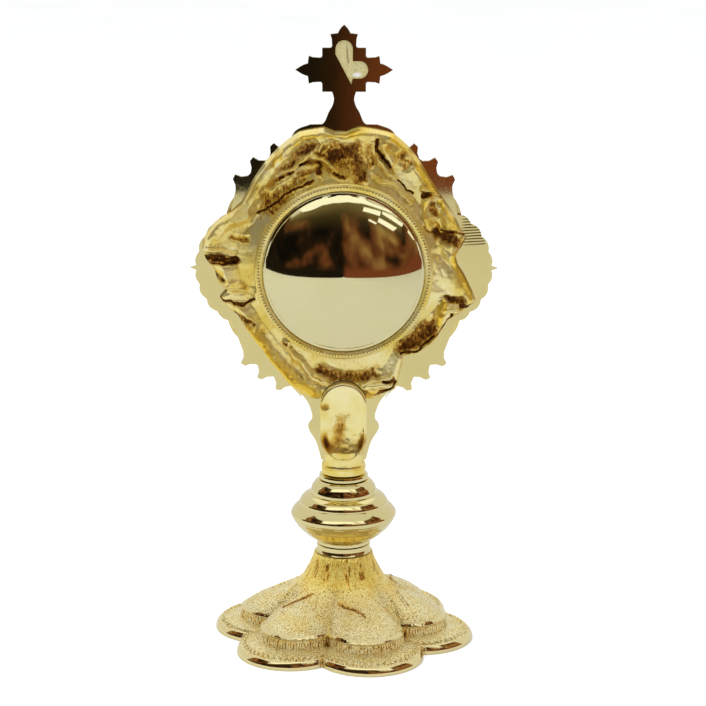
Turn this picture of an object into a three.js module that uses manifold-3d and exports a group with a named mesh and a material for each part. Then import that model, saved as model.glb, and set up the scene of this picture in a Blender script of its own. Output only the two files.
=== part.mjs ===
// A standing reliquary of gilded brass: a hollow cast foot with six lobes, a turned stem, and a flat
// sunburst head with a cross on top and a round relic case through its middle.
// Millimetres, +Z up. The back of the head, with its domed cover, faces -Y. The origin is at the
// middle of the foot's underside.

import * as THREE from "three";
import { mergeVertices } from "three/addons/utils/BufferGeometryUtils.js";
import Module from "manifold-3d";

const wasm = await Module();
wasm.setup();

// Fit
const FIT = 0.3; // gap between two pieces that meet
const TURNED_STEPS = 32; // faces round a turned piece

// Foot
const FOOT_HEIGHT = 30;
const LOBE_COUNT = 6;
const LOBE_CENTRE = 27.2; // axis of the foot to the middle of a lobe
const LOBE_RADIUS = 18.8;
const FOOT_TURN = 19; // degrees from -Y to the lobe nearest to it
const RIM_HEIGHT = 3;
const RIM_ROUND = 1.5; // how far the rim's rounded edge goes in
const RIM_EDGE = 0.5; // upright part of the rim above the floor
const MARGIN_WIDTH = 9.2; // sloping margin between the rim and the step
const MARGIN_RISE = 1.6;
const STEP_HEIGHT = 3.4;
const STEP_LEAN = 0.5;
const PAD_CROWN = 0.7; // how far a lobe swells between its creases
const RIB_HEIGHT = 0.4; // raised rib on both sides of a lobe
const RIB_PLACE = 0.6; // from the middle of a lobe at 0 to the crease at 1
const NECK_TOP_RADIUS = 10.3;
const NECK_FOOT_RADIUS = 14.6;
const NECK_HEIGHT = 9.5;
const FLUTE_DEPTH = 0.8;
const FLUTE_PLACE = 0.4; // as for the ribs
const CREST_SPREAD = 0.2; // half the width of a rib or flute, on the same scale
const FOOT_WALL = 1.6;
const FOOT_CROWN = 4; // thickness of the foot's top, where the rod passes
const FOOT_STEPS = 60;

// Tie rod, nut and washer
const ROD_RADIUS = 2.9;
const ROD_BELOW_NUT = 1.5;
const NUT_ACROSS = 10;
const NUT_HEIGHT = 5;
const WASHER_RADIUS = 6.2;
const WASHER_THICKNESS = 1.2;

// Stem
const COLLAR_RADIUS = 10.1;
const COLLAR_HEIGHT = 2.9;
const KNOP_HEIGHT = 22.9;
const KNOP_RADIUS = 17.9;
const KNOP_FOOT_RADIUS = 10.4;
const KNOP_TOP_RADIUS = 8.6;
const KNOP_BOWL = 0.41; // share of the knop's height that is the bowl under its ridges
// Each ridge: its radius as a share of the knop's, and where it starts and ends up the knop's height.
const KNOP_RIDGES = [
  [1, 0.42, 0.505],
  [0.845, 0.615, 0.735],
  [0.65, 0.76, 0.94],
];
const RIDGE_LEAN = 0.45; // how far a ridge leans in at its top, as a share of its height
const NECK_RING_RADIUS = 8.7;
const NECK_RING_HEIGHT = 1.7;

// Fork that holds the head
const FORK_BASE_RADIUS = 7.7;
const FORK_BASE_HEIGHT = 4.3;
const FORK_BASE_GROOVE = 0.5;
const SHANK_RADIUS = 5.2;
const SHANK_LENGTH = 9;
const ROD_GRIP = 10; // how far the rod screws into the fork
const DRILL_POINT = 0.8; // cone at the end of the fork's hole
const CENTRE_MARK = 0.6; // cone left in the fork's base by the lathe
const TONGUE_HEIGHT = 27.6;
const TONGUE_HALF_WIDTH = 8;
const TONGUE_THICKNESS = 6.6;
const TONGUE_LIFT = 1.6; // underside of the tongue above the fork's base
const TONGUE_END = 1.1; // length of the tongue's lower end as a share of its half width
const HOLLOW_DEPTH = 2.6;
const HOLLOW_HALF_WIDTH = 5.8;
const HOLLOW_HALF_HEIGHT = 8;
const HOLLOW_RISE = 10.5; // underside of the tongue to the middle of its hollow
const LEAF_HALF_WIDTH = 7;
const LEAF_HEIGHT = 19;
const LEAF_SINK = 0.5; // how far the leaf's round end goes into the base
const LEAF_THICKNESS = 3.2;
const ROOT_WIDTH = 8.4; // blocks that join the tongue and the leaf to the base
const ROOT_HEIGHT = 4.5;
const ROOT_THICKNESS = 0.55; // as a share of the tongue or leaf above it

// Sunburst plate
const PLATE_THICKNESS = 2;
const TAIL_DROP = 67.8; // middle of the head to the bottom of the tail
const TAIL_HALF_WIDTH = 7.7; // at the bottom
const TAIL_WAIST = 10.9;
const TAIL_WAIST_DROP = 51.3;
const TAIL_POINT = 12.3;
const TAIL_POINT_LENGTH = 4.1; // from the waist down to the point
const TAIL_TAPER = [0.17, 0.5]; // bends below the point, as shares of the way to the bottom
const SUN_RADIUS = 45.2; // valleys between the rays
const RAY_TIP = 48.7;
const UPPER_RAYS = [60, 50, 40]; // degrees above the horizontal
const LOWER_RAYS = [44.3, 53.2, 62]; // degrees below it
const RAY_HALF_ANGLE = 4.2;
const RAY_SLANT = 0.6; // how much lower the outer corner of a ray's tip is
const SHOULDER_RADIUS = 50;
const SHOULDER_ANGLES = [77, 71];
const SHOULDER_DIP = 1; // how much lower the shoulders are where the cross stands
// Points between the lowest ray and the tail: degrees below the horizontal, and rise over the valleys.
const HIPS = [
  [68, 0.6],
  [72.5, 2.6],
];
const SHELL_CENTRE = 29.6; // middle of the head to the middle of a side shell
const SHELL_RADIUS = 20.4;
const SHELL_SPREAD = 64; // degrees on both sides of the horizontal
const SHELL_SCALLOPS = 8;
const SCALLOP_STEPS = 3;
const SCALLOP_DEPTH = 0.8;
const SHELL_TIP = 52.4;
const CROSS_RISE = 67.2; // middle of the head to the middle of the cross
const CROSS_REACH = 16.3; // middle of the cross to its side points
const CROSS_TOP = 14.9;
const CROSS_SHOULDER = 12.1;
const CROSS_BLOCK = 7.3;
const CROSS_ARM = 4;
const CROSS_POINT = 2.1; // half the width of a point where it leaves its arm
const POINT_FULLNESS = 0.62; // half the width of a point at half its length, as a share of that
const CROSS_FLARE = 0.6;
const CROSS_NECK = 3.4;
const CROSS_NECK_DROP = 9.6;
const CROSS_SPREAD = 5.2; // half the width of the cross's foot above its shoulders
const CROSS_SPREAD_DROP = 14.3;
const CROSS_FOOT = 7.4;
const RECESS_DEPTH = 0.5;
const RECESS_HALF_WIDTH = 2.9;
const RECESS_TOP = 9.8; // middle of the cross to the ends of the recess
const RECESS_SIDE = 8;
const RECESS_SLANT_TOP = 5.2; // where the slanting edge leaves the upper arm of the recess
const RECESS_TIP = 4.8; // middle of the cross to the lowest point of the recess

// Relic case
const CASE_RADIUS = 26;
const CASE_WALL = 1;
const CASE_BACK = 8.2; // from the middle of the plate to the rear end
const CASE_FRONT = 10.6;
const CASE_LIP = 1.8; // how far the front lip stands in
const CASE_LIP_THICKNESS = 1;
const CASE_FLANGE = 2.6;
const CASE_FLANGE_THICKNESS = 1;
const SEAL_THICKNESS = 0.6;
const GLASS_THICKNESS = 1.2;
const HOLDER_RADIUS = 5;
const HOLDER_WINDOW = 3.2;
const HOLDER_THICKNESS = 0.9;
const PAD_THICKNESS = 2;
const BACKING_THICKNESS = 0.7;
const SPRING_WIDTH = 1.3;
const SPRING_THICKNESS = 0.8;
const SPRING_GAP = 24; // degrees

// Castings on both faces of the plate
const CAST_HEIGHT = 6; // inner edge above the plate
const CAST_RIM = 5.4;
const CAST_FLOOR = 2.7;
const CAST_EDGE = 1.8;
const CAST_ROUND = 0.9; // fall of the rounded crests
const BACK_CAST_STEPS = 96;
const FRONT_CAST_STEPS = 48;
const FRONT_CAST_REACH = 41;
const FRONT_CAST_SWELL = 3.4;
const FRONT_CAST_WAVES = 12;

// Beaded rings and domed cover
const RING_WIDTH = 2.7;
const RING_HEIGHT = 1.6;
const RING_BEVEL = 0.5;
const RING_BACK_BEADS = 72;
const RING_FRONT_BEADS = 36;
const BEAD_HEIGHT = 0.55;
const COVER_OVERHANG = 1.2; // edge of the cover beyond the case
const COVER_WALL = 1;
const COVER_EDGE = 1.1;
const COVER_SKIRT = 4;
const DOME_RISE = 8.6;
const DOME_RINGS = 5;

const gold = new THREE.MeshStandardMaterial({ color: 0xd9b85a, roughness: 0.12, metalness: 1 });
const castGold = new THREE.MeshStandardMaterial({ color: 0xcfae56, roughness: 0.35, metalness: 1 });
const stippledGold = new THREE.MeshStandardMaterial({ color: 0xd2b45e, roughness: 0.3, metalness: 1 });
const brass = new THREE.MeshStandardMaterial({ color: 0xb99a52, roughness: 0.4, metalness: 1 });
const steel = new THREE.MeshStandardMaterial({ color: 0xa9abad, roughness: 0.35, metalness: 1 });
const glass = new THREE.MeshStandardMaterial({ color: 0xf1f5f4, roughness: 0.05, metalness: 0 });
const cork = new THREE.MeshStandardMaterial({ color: 0x9a7248, roughness: 0.9, metalness: 0 });
const velvet = new THREE.MeshStandardMaterial({ color: 0x8e1620, roughness: 0.9, metalness: 0 });

const radians = (degrees) => (degrees * Math.PI) / 180;

// Heights of the pieces on the stem, from the floor up.
const collarZ = FOOT_HEIGHT + FIT;
const knopZ = collarZ + COLLAR_HEIGHT + FIT;
const neckRingZ = knopZ + KNOP_HEIGHT + FIT;
const forkZ = neckRingZ + NECK_RING_HEIGHT + FIT;
const forkTop = forkZ + FORK_BASE_HEIGHT;
const headZ = forkTop + FIT + TAIL_DROP;

// Distances from the middle of the plate towards the back and the front.
const plateFace = PLATE_THICKNESS / 2;
const castFace = plateFace + FIT;
const ringSeat = castFace + CAST_HEIGHT + FIT;
const caseBore = CASE_RADIUS - CASE_WALL;
const insideFit = caseBore - FIT;
const holeRadius = CASE_RADIUS + FIT;
const coverRadius = CASE_RADIUS + COVER_OVERHANG;

// Turns a geometry into a closed solid that can be joined and cut.
function solid(geometry) {
  const bare = (geometry.index ? geometry.toNonIndexed() : geometry).clone();
  for (const name of Object.keys(bare.attributes)) {
    if (name !== "position") bare.deleteAttribute(name);
  }
  const merged = mergeVertices(bare, 1e-4);
  const corners = merged.index.array;
  const triVerts = [];
  for (let i = 0; i < corners.length; i += 3) {
    const [a, b, c] = corners.slice(i, i + 3);
    if (a !== b && b !== c && c !== a) triVerts.push(a, b, c);
  }
  const vertProperties = merged.attributes.position.array;
  return new wasm.Manifold(
    new wasm.Mesh({ numProp: 3, vertProperties, triVerts: new Uint32Array(triVerts) }),
  );
}

// Names a solid or a geometry as one piece of the assembly.
function piece(name, shape, material) {
  let geometry = shape;
  if (!shape.isBufferGeometry) {
    const { numProp, vertProperties, triVerts } = shape.getMesh();
    geometry = new THREE.BufferGeometry();
    geometry.setAttribute("position", new THREE.BufferAttribute(vertProperties, numProp));
    geometry.setIndex(new THREE.BufferAttribute(triVerts, 1));
    geometry.computeVertexNormals();
  }
  const mesh = new THREE.Mesh(geometry, material);
  mesh.name = name;
  return mesh;
}

// Revolves a profile of [radius, height] points, listed anticlockwise, about the Y axis.
function turned(profile, steps = TURNED_STEPS) {
  const onAxis = profile[0][0] === 0;
  const closed = onAxis ? profile : [...profile, profile[0]];
  return new THREE.LatheGeometry(closed.map(([r, h]) => new THREE.Vector2(r, h)), steps);
}

// The same about the Z axis.
const turnedUpright = (profile, steps) => turned(profile, steps).rotateX(Math.PI / 2);

// Joins closed loops of [x, y, z] points, one for each step round an axis, into a ring.
function ringOfLoops(steps, loopAt) {
  const positions = [];
  const index = [];
  let size = 0;
  for (let i = 0; i < steps; i++) {
    const loop = loopAt((i * 2 * Math.PI) / steps, i);
    size = loop.length;
    loop.forEach((point) => positions.push(...point));
  }
  for (let i = 0; i < steps; i++) {
    for (let j = 0; j < size; j++) {
      const a = i * size + j;
      const b = i * size + ((j + 1) % size);
      const c = ((i + 1) % steps) * size + j;
      const d = ((i + 1) % steps) * size + ((j + 1) % size);
      index.push(a, c, d, a, d, b);
    }
  }
  const geometry = new THREE.BufferGeometry();
  geometry.setAttribute("position", new THREE.Float32BufferAttribute(positions, 3));
  geometry.setIndex(index);
  geometry.computeVertexNormals();
  return geometry;
}

// Extrudes an outline drawn in X and Z from one depth to another along Y.
function upright(shape, from, to, curveSegments = 12) {
  const settings = { depth: to - from, bevelEnabled: false, curveSegments };
  return new THREE.ExtrudeGeometry(shape, settings).rotateX(Math.PI / 2).translate(0, to, 0);
}

// Mirrors the right half of an outline, listed from top to bottom, and closes it.
function mirroredShape(half) {
  const left = half.filter(([x]) => x > 0).map(([x, z]) => [-x, z]);
  const outline = [...half, ...left.reverse()];
  return new THREE.Shape(outline.reverse().map(([x, z]) => new THREE.Vector2(x, z)));
}

// Foot

const lobeStep = (2 * Math.PI) / LOBE_COUNT;

// Angle from the axis of the nearest lobe.
const fromLobe = (angle) => {
  const turn = angle / lobeStep;
  return Math.abs(turn - Math.round(turn)) * lobeStep;
};

// Outline of the six lobes.
function footReach(angle) {
  const off = fromLobe(angle);
  const across = LOBE_CENTRE * Math.sin(off);
  return LOBE_CENTRE * Math.cos(off) + Math.sqrt(LOBE_RADIUS ** 2 - across ** 2);
}

// One section through the wall of the foot, from the rod hole out, down and back up inside.
function footSection(angle) {
  const reach = footReach(angle);
  const off = fromLobe(angle) / (lobeStep / 2);
  const crest = (place) => Math.max(0, 1 - Math.abs(off - place) / CREST_SPREAD);
  const stepFoot = reach - MARGIN_WIDTH;
  const stepTop = stepFoot - STEP_LEAN;
  const marginTop = RIM_HEIGHT + MARGIN_RISE;
  const padZ = marginTop + STEP_HEIGHT;
  const neckZ = FOOT_HEIGHT - NECK_HEIGHT;
  // The neck sweeps out from its top at 0 to its foot at 1.
  const neckAt = (share) => {
    const sweep = (NECK_FOOT_RADIUS - NECK_TOP_RADIUS) * share ** 1.4;
    const flute = FLUTE_DEPTH * crest(FLUTE_PLACE) * Math.sin(Math.PI * share);
    return [NECK_TOP_RADIUS + sweep - flute, FOOT_HEIGHT - share * NECK_HEIGHT];
  };
  // The top of a lobe rises gently from the step at 0, then steeply to the neck's foot at 1.
  const padAt = (share) => {
    const rise = 0.55 * share ** 0.8 + 0.45 * share ** 6;
    const crown = PAD_CROWN * (1 - 1.5 * off ** 2) + RIB_HEIGHT * crest(RIB_PLACE);
    const swell = crown * Math.sin(Math.PI * share ** 0.7);
    return [stepTop + (NECK_FOOT_RADIUS - stepTop) * share, padZ + (neckZ - padZ) * rise + swell];
  };
  const bore = ROD_RADIUS + FIT;
  const cavity = NECK_TOP_RADIUS - FLUTE_DEPTH - FOOT_WALL;
  const outside = [
    [bore, FOOT_HEIGHT],
    [NECK_TOP_RADIUS, FOOT_HEIGHT],
    neckAt(0.5),
    ...[1, 0.85, 0.65, 0.4, 0.15].map(padAt),
    [stepTop, padZ],
    [stepFoot, marginTop],
    [reach - RIM_ROUND, RIM_HEIGHT],
    [reach - RIM_ROUND / 3, (RIM_HEIGHT + RIM_EDGE) / 2],
    [reach, RIM_EDGE],
    [reach, 0],
  ];
  const under = (share) => {
    const [r, z] = padAt(share);
    return [r - FOOT_WALL / 2, z - FOOT_WALL];
  };
  const inside = [
    [reach - FOOT_WALL, 0],
    [reach - FOOT_WALL - RIM_ROUND / 2, RIM_HEIGHT - FOOT_WALL],
    [stepFoot - FOOT_WALL, marginTop - FOOT_WALL],
    [stepTop - FOOT_WALL, padZ - FOOT_WALL],
    under(0.4),
    under(0.85),
    [cavity, neckZ + NECK_HEIGHT / 3],
    [cavity, FOOT_HEIGHT - FOOT_CROWN],
    [bore, FOOT_HEIGHT - FOOT_CROWN],
  ];
  return [...outside, ...inside].reverse();
}

function makeFoot() {
  const turn = radians(FOOT_TURN);
  return ringOfLoops(FOOT_STEPS, (angle) =>
    footSection(angle).map(([r, z]) => [r * Math.sin(angle + turn), -r * Math.cos(angle + turn), z]),
  );
}

// Rod, washer and nut

const washerTop = FOOT_HEIGHT - FOOT_CROWN - FIT;
const nutTop = washerTop - WASHER_THICKNESS - FIT;
const rodBottom = nutTop - NUT_HEIGHT - ROD_BELOW_NUT;
const rodTop = forkZ - SHANK_LENGTH + ROD_GRIP;

function makeRod() {
  const chamfer = ROD_RADIUS / 4;
  return turnedUpright(
    [
      [0, rodBottom],
      [ROD_RADIUS - chamfer, rodBottom],
      [ROD_RADIUS, rodBottom + chamfer],
      [ROD_RADIUS, rodTop - chamfer],
      [ROD_RADIUS - chamfer, rodTop],
      [0, rodTop],
    ],
    24,
  );
}

// A turned ring with a bore for the rod or another round piece.
function plainRing(bore, radius, bottom, height, steps) {
  const profile = [
    [bore, bottom],
    [radius, bottom],
    [radius, bottom + height],
    [bore, bottom + height],
  ];
  return turnedUpright(profile, steps);
}

const makeWasher = () =>
  plainRing(ROD_RADIUS + FIT, WASHER_RADIUS, washerTop - WASHER_THICKNESS, WASHER_THICKNESS, 24);

function makeNut() {
  const hexRadius = NUT_ACROSS / 2 / Math.cos(Math.PI / 6);
  const blank = new THREE.CylinderGeometry(hexRadius, hexRadius, NUT_HEIGHT, 6).rotateX(Math.PI / 2);
  const bore = new THREE.CylinderGeometry(ROD_RADIUS + FIT, ROD_RADIUS + FIT, NUT_HEIGHT * 2, 24);
  const hole = solid(bore.rotateX(Math.PI / 2));
  return solid(blank).subtract(hole).translate(0, 0, nutTop - NUT_HEIGHT / 2);
}

// Stem

function makeCollar() {
  const lip = COLLAR_HEIGHT / 5;
  return turnedUpright([
    [ROD_RADIUS + FIT, collarZ],
    [COLLAR_RADIUS - lip, collarZ],
    [COLLAR_RADIUS, collarZ + lip],
    [COLLAR_RADIUS, collarZ + COLLAR_HEIGHT - lip],
    [COLLAR_RADIUS - lip, collarZ + COLLAR_HEIGHT],
    [ROD_RADIUS + FIT, collarZ + COLLAR_HEIGHT],
  ]);
}

const forkBore = SHANK_RADIUS + FIT; // bore of the knop and neck ring round the fork's shank
const shankBottom = forkZ - SHANK_LENGTH;

// Bowl below, three rounded ridges above, each narrower than the one under it.
function makeKnop() {
  const at = (share) => knopZ + KNOP_HEIGHT * share;
  const bowl = [0, 0.25, 0.5, 0.75, 1].map((share) => {
    const swell = Math.sin((share * Math.PI) / 2) ** 1.5;
    return [KNOP_FOOT_RADIUS + (KNOP_RADIUS - KNOP_FOOT_RADIUS) * swell, at(KNOP_BOWL * share)];
  });
  const ridges = KNOP_RIDGES.flatMap(([width, from, to]) =>
    [0, 0.4, 0.75, 1].map((share) => {
      const lean = RIDGE_LEAN * KNOP_HEIGHT * (to - from) * share ** 2;
      return [KNOP_RADIUS * width - lean, at(from + (to - from) * share)];
    }),
  );
  return turnedUpright([
    [ROD_RADIUS + FIT, at(0)],
    ...bowl,
    ...ridges,
    [KNOP_TOP_RADIUS, at(1)],
    [forkBore, at(1)],
    [forkBore, shankBottom - FIT],
    [ROD_RADIUS + FIT, shankBottom - FIT],
  ]);
}

function makeNeckRing() {
  const bulge = NECK_RING_HEIGHT / 3;
  return turnedUpright([
    [forkBore, neckRingZ],
    [NECK_RING_RADIUS - bulge, neckRingZ],
    [NECK_RING_RADIUS, neckRingZ + bulge],
    [NECK_RING_RADIUS, neckRingZ + 2 * bulge],
    [NECK_RING_RADIUS - bulge, neckRingZ + NECK_RING_HEIGHT],
    [forkBore, neckRingZ + NECK_RING_HEIGHT],
  ]);
}

// Fork

// Round base with a groove round it, and a shank with a blind hole for the rod.
function forkBase() {
  const at = (share) => forkZ + FORK_BASE_HEIGHT * share;
  const groove = FORK_BASE_RADIUS - FORK_BASE_GROOVE;
  return turnedUpright(
    [
      [0, rodTop + FIT + DRILL_POINT],
      [ROD_RADIUS + FIT, rodTop + FIT],
      [ROD_RADIUS + FIT, shankBottom],
      [SHANK_RADIUS, shankBottom],
      [SHANK_RADIUS, at(0)],
      [FORK_BASE_RADIUS, at(0)],
      [groove, at(0.3)],
      [groove, at(0.5)],
      [FORK_BASE_RADIUS, at(0.7)],
      [FORK_BASE_RADIUS, at(0.85)],
      [groove, at(1)],
      [CENTRE_MARK, at(1)],
      [0, at(1) - CENTRE_MARK],
    ],
    24,
  );
}

// Outline of the tongue behind the tail, round at both ends.
function tongueShape(halfWidth, bottom, height) {
  const end = halfWidth * TONGUE_END;
  const shape = new THREE.Shape();
  shape.absellipse(0, bottom + height - halfWidth, halfWidth, halfWidth, 0, Math.PI);
  shape.absellipse(0, bottom + end, halfWidth, end, Math.PI, 2 * Math.PI);
  return shape;
}

const tongueBottom = forkTop + TONGUE_LIFT;
const TONGUE_CURVE = 7; // faces round each end of the tongue

// Block on the base, centred on its top, under the tongue or the leaf.
function root(from, to) {
  const block = new THREE.BoxGeometry(ROOT_WIDTH, to - from, ROOT_HEIGHT);
  return solid(block).translate(0, (from + to) / 2, forkTop + TONGUE_LIFT / 2);
}

// The tongue behind the tail, with its thumb-shaped hollow, and the leaf in front of the tail.
function makeFork() {
  const tongueBack = -castFace - TONGUE_THICKNESS;
  const leafFront = castFace + LEAF_THICKNESS;
  const tongueOutline = tongueShape(TONGUE_HALF_WIDTH, tongueBottom, TONGUE_HEIGHT);
  const leafOutline = tongueShape(LEAF_HALF_WIDTH, forkTop - LEAF_SINK, LEAF_HEIGHT + LEAF_SINK);
  const tongue = solid(upright(tongueOutline, tongueBack, -castFace, TONGUE_CURVE));
  const leaf = solid(upright(leafOutline, castFace, leafFront, TONGUE_CURVE));
  const hollow = solid(new THREE.SphereGeometry(1, 16, 8))
    .scale([HOLLOW_HALF_WIDTH, HOLLOW_DEPTH, HOLLOW_HALF_HEIGHT])
    .translate(0, tongueBack, tongueBottom + HOLLOW_RISE);
  const behind = root(-castFace - TONGUE_THICKNESS * ROOT_THICKNESS, -castFace);
  const before = root(castFace, castFace + LEAF_THICKNESS * ROOT_THICKNESS);
  return solid(forkBase()).add(behind).add(before).add(tongue).add(leaf).subtract(hollow);
}

// Sunburst plate

// Right half of the cross, from its top to its foot, about the middle of the cross.
function crossHalf() {
  const flare = CROSS_ARM + CROSS_FLARE;
  const pointSide = CROSS_POINT * POINT_FULLNESS;
  const quarter = [
    [CROSS_POINT, CROSS_SHOULDER],
    [flare, CROSS_SHOULDER - CROSS_FLARE / 2],
    [CROSS_ARM, CROSS_BLOCK + CROSS_FLARE],
    [flare + CROSS_FLARE / 2, CROSS_BLOCK],
    [CROSS_BLOCK, CROSS_BLOCK],
  ];
  const side = quarter.map(([x, z]) => [z, x]).reverse();
  side.push([(CROSS_REACH + CROSS_SHOULDER) / 2, pointSide]);
  const below = side.map(([x, z]) => [x, -z]).reverse();
  return [
    [0, CROSS_TOP],
    [pointSide, (CROSS_TOP + CROSS_SHOULDER) / 2],
    ...quarter,
    ...side.slice(1),
    [CROSS_REACH, 0],
    ...below,
    [CROSS_NECK + CROSS_FLARE, -CROSS_BLOCK],
    [CROSS_NECK, -CROSS_NECK_DROP],
    [CROSS_SPREAD, -CROSS_SPREAD_DROP],
  ].map(([x, z]) => [x, z + CROSS_RISE]);
}

function polar(radius, degrees) {
  const angle = radians(degrees);
  return [radius * Math.cos(angle), radius * Math.sin(angle)];
}

// Valley, tip and valley of each ray, going clockwise.
function rays(angles, side) {
  return angles.flatMap((angle) => [
    polar(SUN_RADIUS, side * angle + RAY_HALF_ANGLE),
    polar(RAY_TIP, side * angle + RAY_HALF_ANGLE / 4),
    polar(RAY_TIP - RAY_SLANT, side * angle - RAY_HALF_ANGLE / 4),
    polar(SUN_RADIUS, side * angle - RAY_HALF_ANGLE),
  ]);
}

// Scalloped edge of the right side shell, with a point in its middle.
function shellEdge() {
  const points = [];
  const count = SHELL_SCALLOPS * SCALLOP_STEPS;
  for (let i = 0; i <= count; i++) {
    const degrees = SHELL_SPREAD * (1 - (2 * i) / count);
    const bulge = Math.abs(Math.sin((i * Math.PI) / SCALLOP_STEPS)) * SCALLOP_DEPTH;
    const [x, z] = polar(SHELL_RADIUS + bulge, degrees);
    points.push(i * 2 === count ? [SHELL_TIP, 0] : [SHELL_CENTRE + x, z]);
  }
  return points;
}

// Right edge of the tail, from the sun down: a waist, a point and a taper.
function tailHalf() {
  const pointDrop = TAIL_WAIST_DROP + TAIL_POINT_LENGTH;
  const bend = (share, x) => [x, -pointDrop - (TAIL_DROP - pointDrop) * share];
  return [
    [TAIL_WAIST, -TAIL_WAIST_DROP],
    [TAIL_WAIST, -TAIL_WAIST_DROP - TAIL_POINT_LENGTH / 2],
    [TAIL_POINT, -pointDrop],
    bend(TAIL_TAPER[0], (TAIL_WAIST + TAIL_POINT) / 2),
    bend(TAIL_TAPER[1], (TAIL_WAIST + TAIL_HALF_WIDTH) / 2),
    bend(1, TAIL_HALF_WIDTH),
  ];
}

// Shallow recess in the back of the cross: an upper and a right arm with round ends, and a
// slanting edge across the corner between the other two.
function crossRecess() {
  const half = RECESS_HALF_WIDTH;
  const shape = new THREE.Shape();
  shape.absarc(0, RECESS_TOP - half, half, 0, Math.PI);
  shape.lineTo(-half, RECESS_SLANT_TOP);
  shape.lineTo(half - RECESS_DEPTH, -RECESS_TIP);
  shape.lineTo(half, -half);
  shape.absarc(RECESS_SIDE - half, 0, half, -Math.PI / 2, Math.PI / 2);
  shape.lineTo(half, half);
  const cut = upright(shape, -plateFace - RECESS_DEPTH, -plateFace + RECESS_DEPTH);
  return solid(cut).translate(0, 0, CROSS_RISE);
}

function makePlate() {
  const half = [
    ...crossHalf(),
    [CROSS_FOOT, SHOULDER_RADIUS - SHOULDER_DIP],
    ...SHOULDER_ANGLES.map((degrees) => polar(SHOULDER_RADIUS, degrees)),
    ...rays(UPPER_RAYS, 1),
    ...shellEdge(),
    ...rays(LOWER_RAYS, -1),
    ...HIPS.map(([degrees, rise]) => polar(SUN_RADIUS + rise, -degrees)),
    ...tailHalf(),
  ];
  const plate = solid(upright(mirroredShape(half), -plateFace, plateFace));
  const hole = solid(new THREE.CylinderGeometry(holeRadius, holeRadius, PLATE_THICKNESS * 2, TURNED_STEPS));
  return plate.subtract(hole).subtract(crossRecess()).translate(0, 0, headZ);
}

// Castings

// Reach of the irregular back casting at some angles in degrees, from the middle of the head.
const BACK_CAST_OUTLINE = [
  [-180, 44], [-174, 43], [-170, 40.5], [-167, 43.5], [-162, 42], [-156, 39.6], [-147, 39.2],
  [-135, 39.5], [-121, 42.3], [-109, 46.4], [-103, 46.6], [-90, 45.2], [-78, 46.4], [-72, 46],
  [-67, 45.6], [-62, 41], [-56, 36.6], [-48, 38.8], [-40, 39.8], [-33, 39.6], [-26, 39.8],
  [-18, 44], [-13.6, 46.4], [-8, 43.4], [2, 38.8], [7, 38.2], [14.5, 42.8], [20, 41.8], [31, 41.4],
  [38, 41.2], [47, 42.4], [56, 45], [63, 47.2], [70, 49], [84, 48.6], [89, 46.6], [94, 46.8],
  [98, 48.6], [108, 49], [120, 46.4], [130, 44.2], [140, 42.2], [147, 41.4], [153, 42.8],
  [160, 46.6], [167, 48.6], [172, 48.6], [176, 47], [180, 44],
];

// Hollows of the back casting: x and z from the middle of the head, radius and depth.
const BACK_HOLLOWS = [
  [-11, 42, 4, 1.8], [5, 39, 5, 1.6], [17, 41, 3.5, 1.6], [-29, 24, 6, 1.2], [-40, 3, 3, 1.8],
  [-36, -8, 3.5, 2], [29, -20, 6, 2.4], [41, -10, 3, 2], [13, -41, 4, 2], [0, -36, 4, 1.6],
  [29, 23, 3.5, 1.6],
];

function castReach(angle) {
  const degrees = THREE.MathUtils.euclideanModulo((angle * 180) / Math.PI + 180, 360) - 180;
  const next = BACK_CAST_OUTLINE.findIndex(([a]) => a >= degrees) || 1;
  const [a0, r0] = BACK_CAST_OUTLINE[next - 1];
  const [a1, r1] = BACK_CAST_OUTLINE[next];
  return THREE.MathUtils.lerp(r0, r1, (degrees - a0) / (a1 - a0));
}

// Height of the casting across its width, from the inner edge at 0 to the outer edge at 1.
const CAST_SECTION = [
  [0, CAST_HEIGHT],
  [0.14, CAST_HEIGHT - CAST_ROUND / 2],
  [0.32, (CAST_HEIGHT + CAST_FLOOR - CAST_ROUND) / 2],
  [0.52, CAST_FLOOR],
  [0.7, (CAST_FLOOR + CAST_RIM) / 2],
  [0.85, CAST_RIM],
  [0.95, CAST_RIM - CAST_ROUND],
  [1, CAST_EDGE],
];

function makeBackCasting() {
  const geometry = ringOfLoops(BACK_CAST_STEPS, (angle) => {
    const reach = castReach(angle);
    const loop = CAST_SECTION.map(([share, height]) => {
      const r = holeRadius + (reach - holeRadius) * share;
      const x = r * Math.cos(angle);
      const z = r * Math.sin(angle);
      const dip = BACK_HOLLOWS.reduce((deepest, [hx, hz, radius, depth]) => {
        const away = Math.hypot(x - hx, z - hz) / radius;
        return Math.max(deepest, away < 1 ? depth * (1 - away ** 2) : 0);
      }, 0);
      const keep = share === 0 || share === 1 ? 0 : dip;
      return [x, -castFace - Math.max(height - keep, CAST_EDGE / 2), z];
    });
    const [inner, outer] = [loop[0], loop.at(-1)];
    return [[inner[0], -castFace, inner[2]], [outer[0], -castFace, outer[2]], ...loop.reverse()];
  });
  // The casting is arched where it meets the top of the fork's tongue.
  const around = tongueShape(TONGUE_HALF_WIDTH + FIT, tongueBottom, TONGUE_HEIGHT + FIT);
  const arch = solid(upright(around, -castFace - TONGUE_THICKNESS * 2, 0, TONGUE_CURVE));
  return solid(geometry).translate(0, 0, headZ).subtract(arch);
}

// The front casting's height in the same way, and how much more of it there is on a wave's crest.
const FRONT_SECTION = [
  [0, CAST_HEIGHT, 0],
  [0.22, CAST_HEIGHT, 0],
  [0.5, CAST_FLOOR, 1],
  [0.8, CAST_RIM * 0.6, CAST_RIM * 0.4],
  [1, CAST_EDGE * 0.7, CAST_EDGE * 0.5],
];

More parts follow.
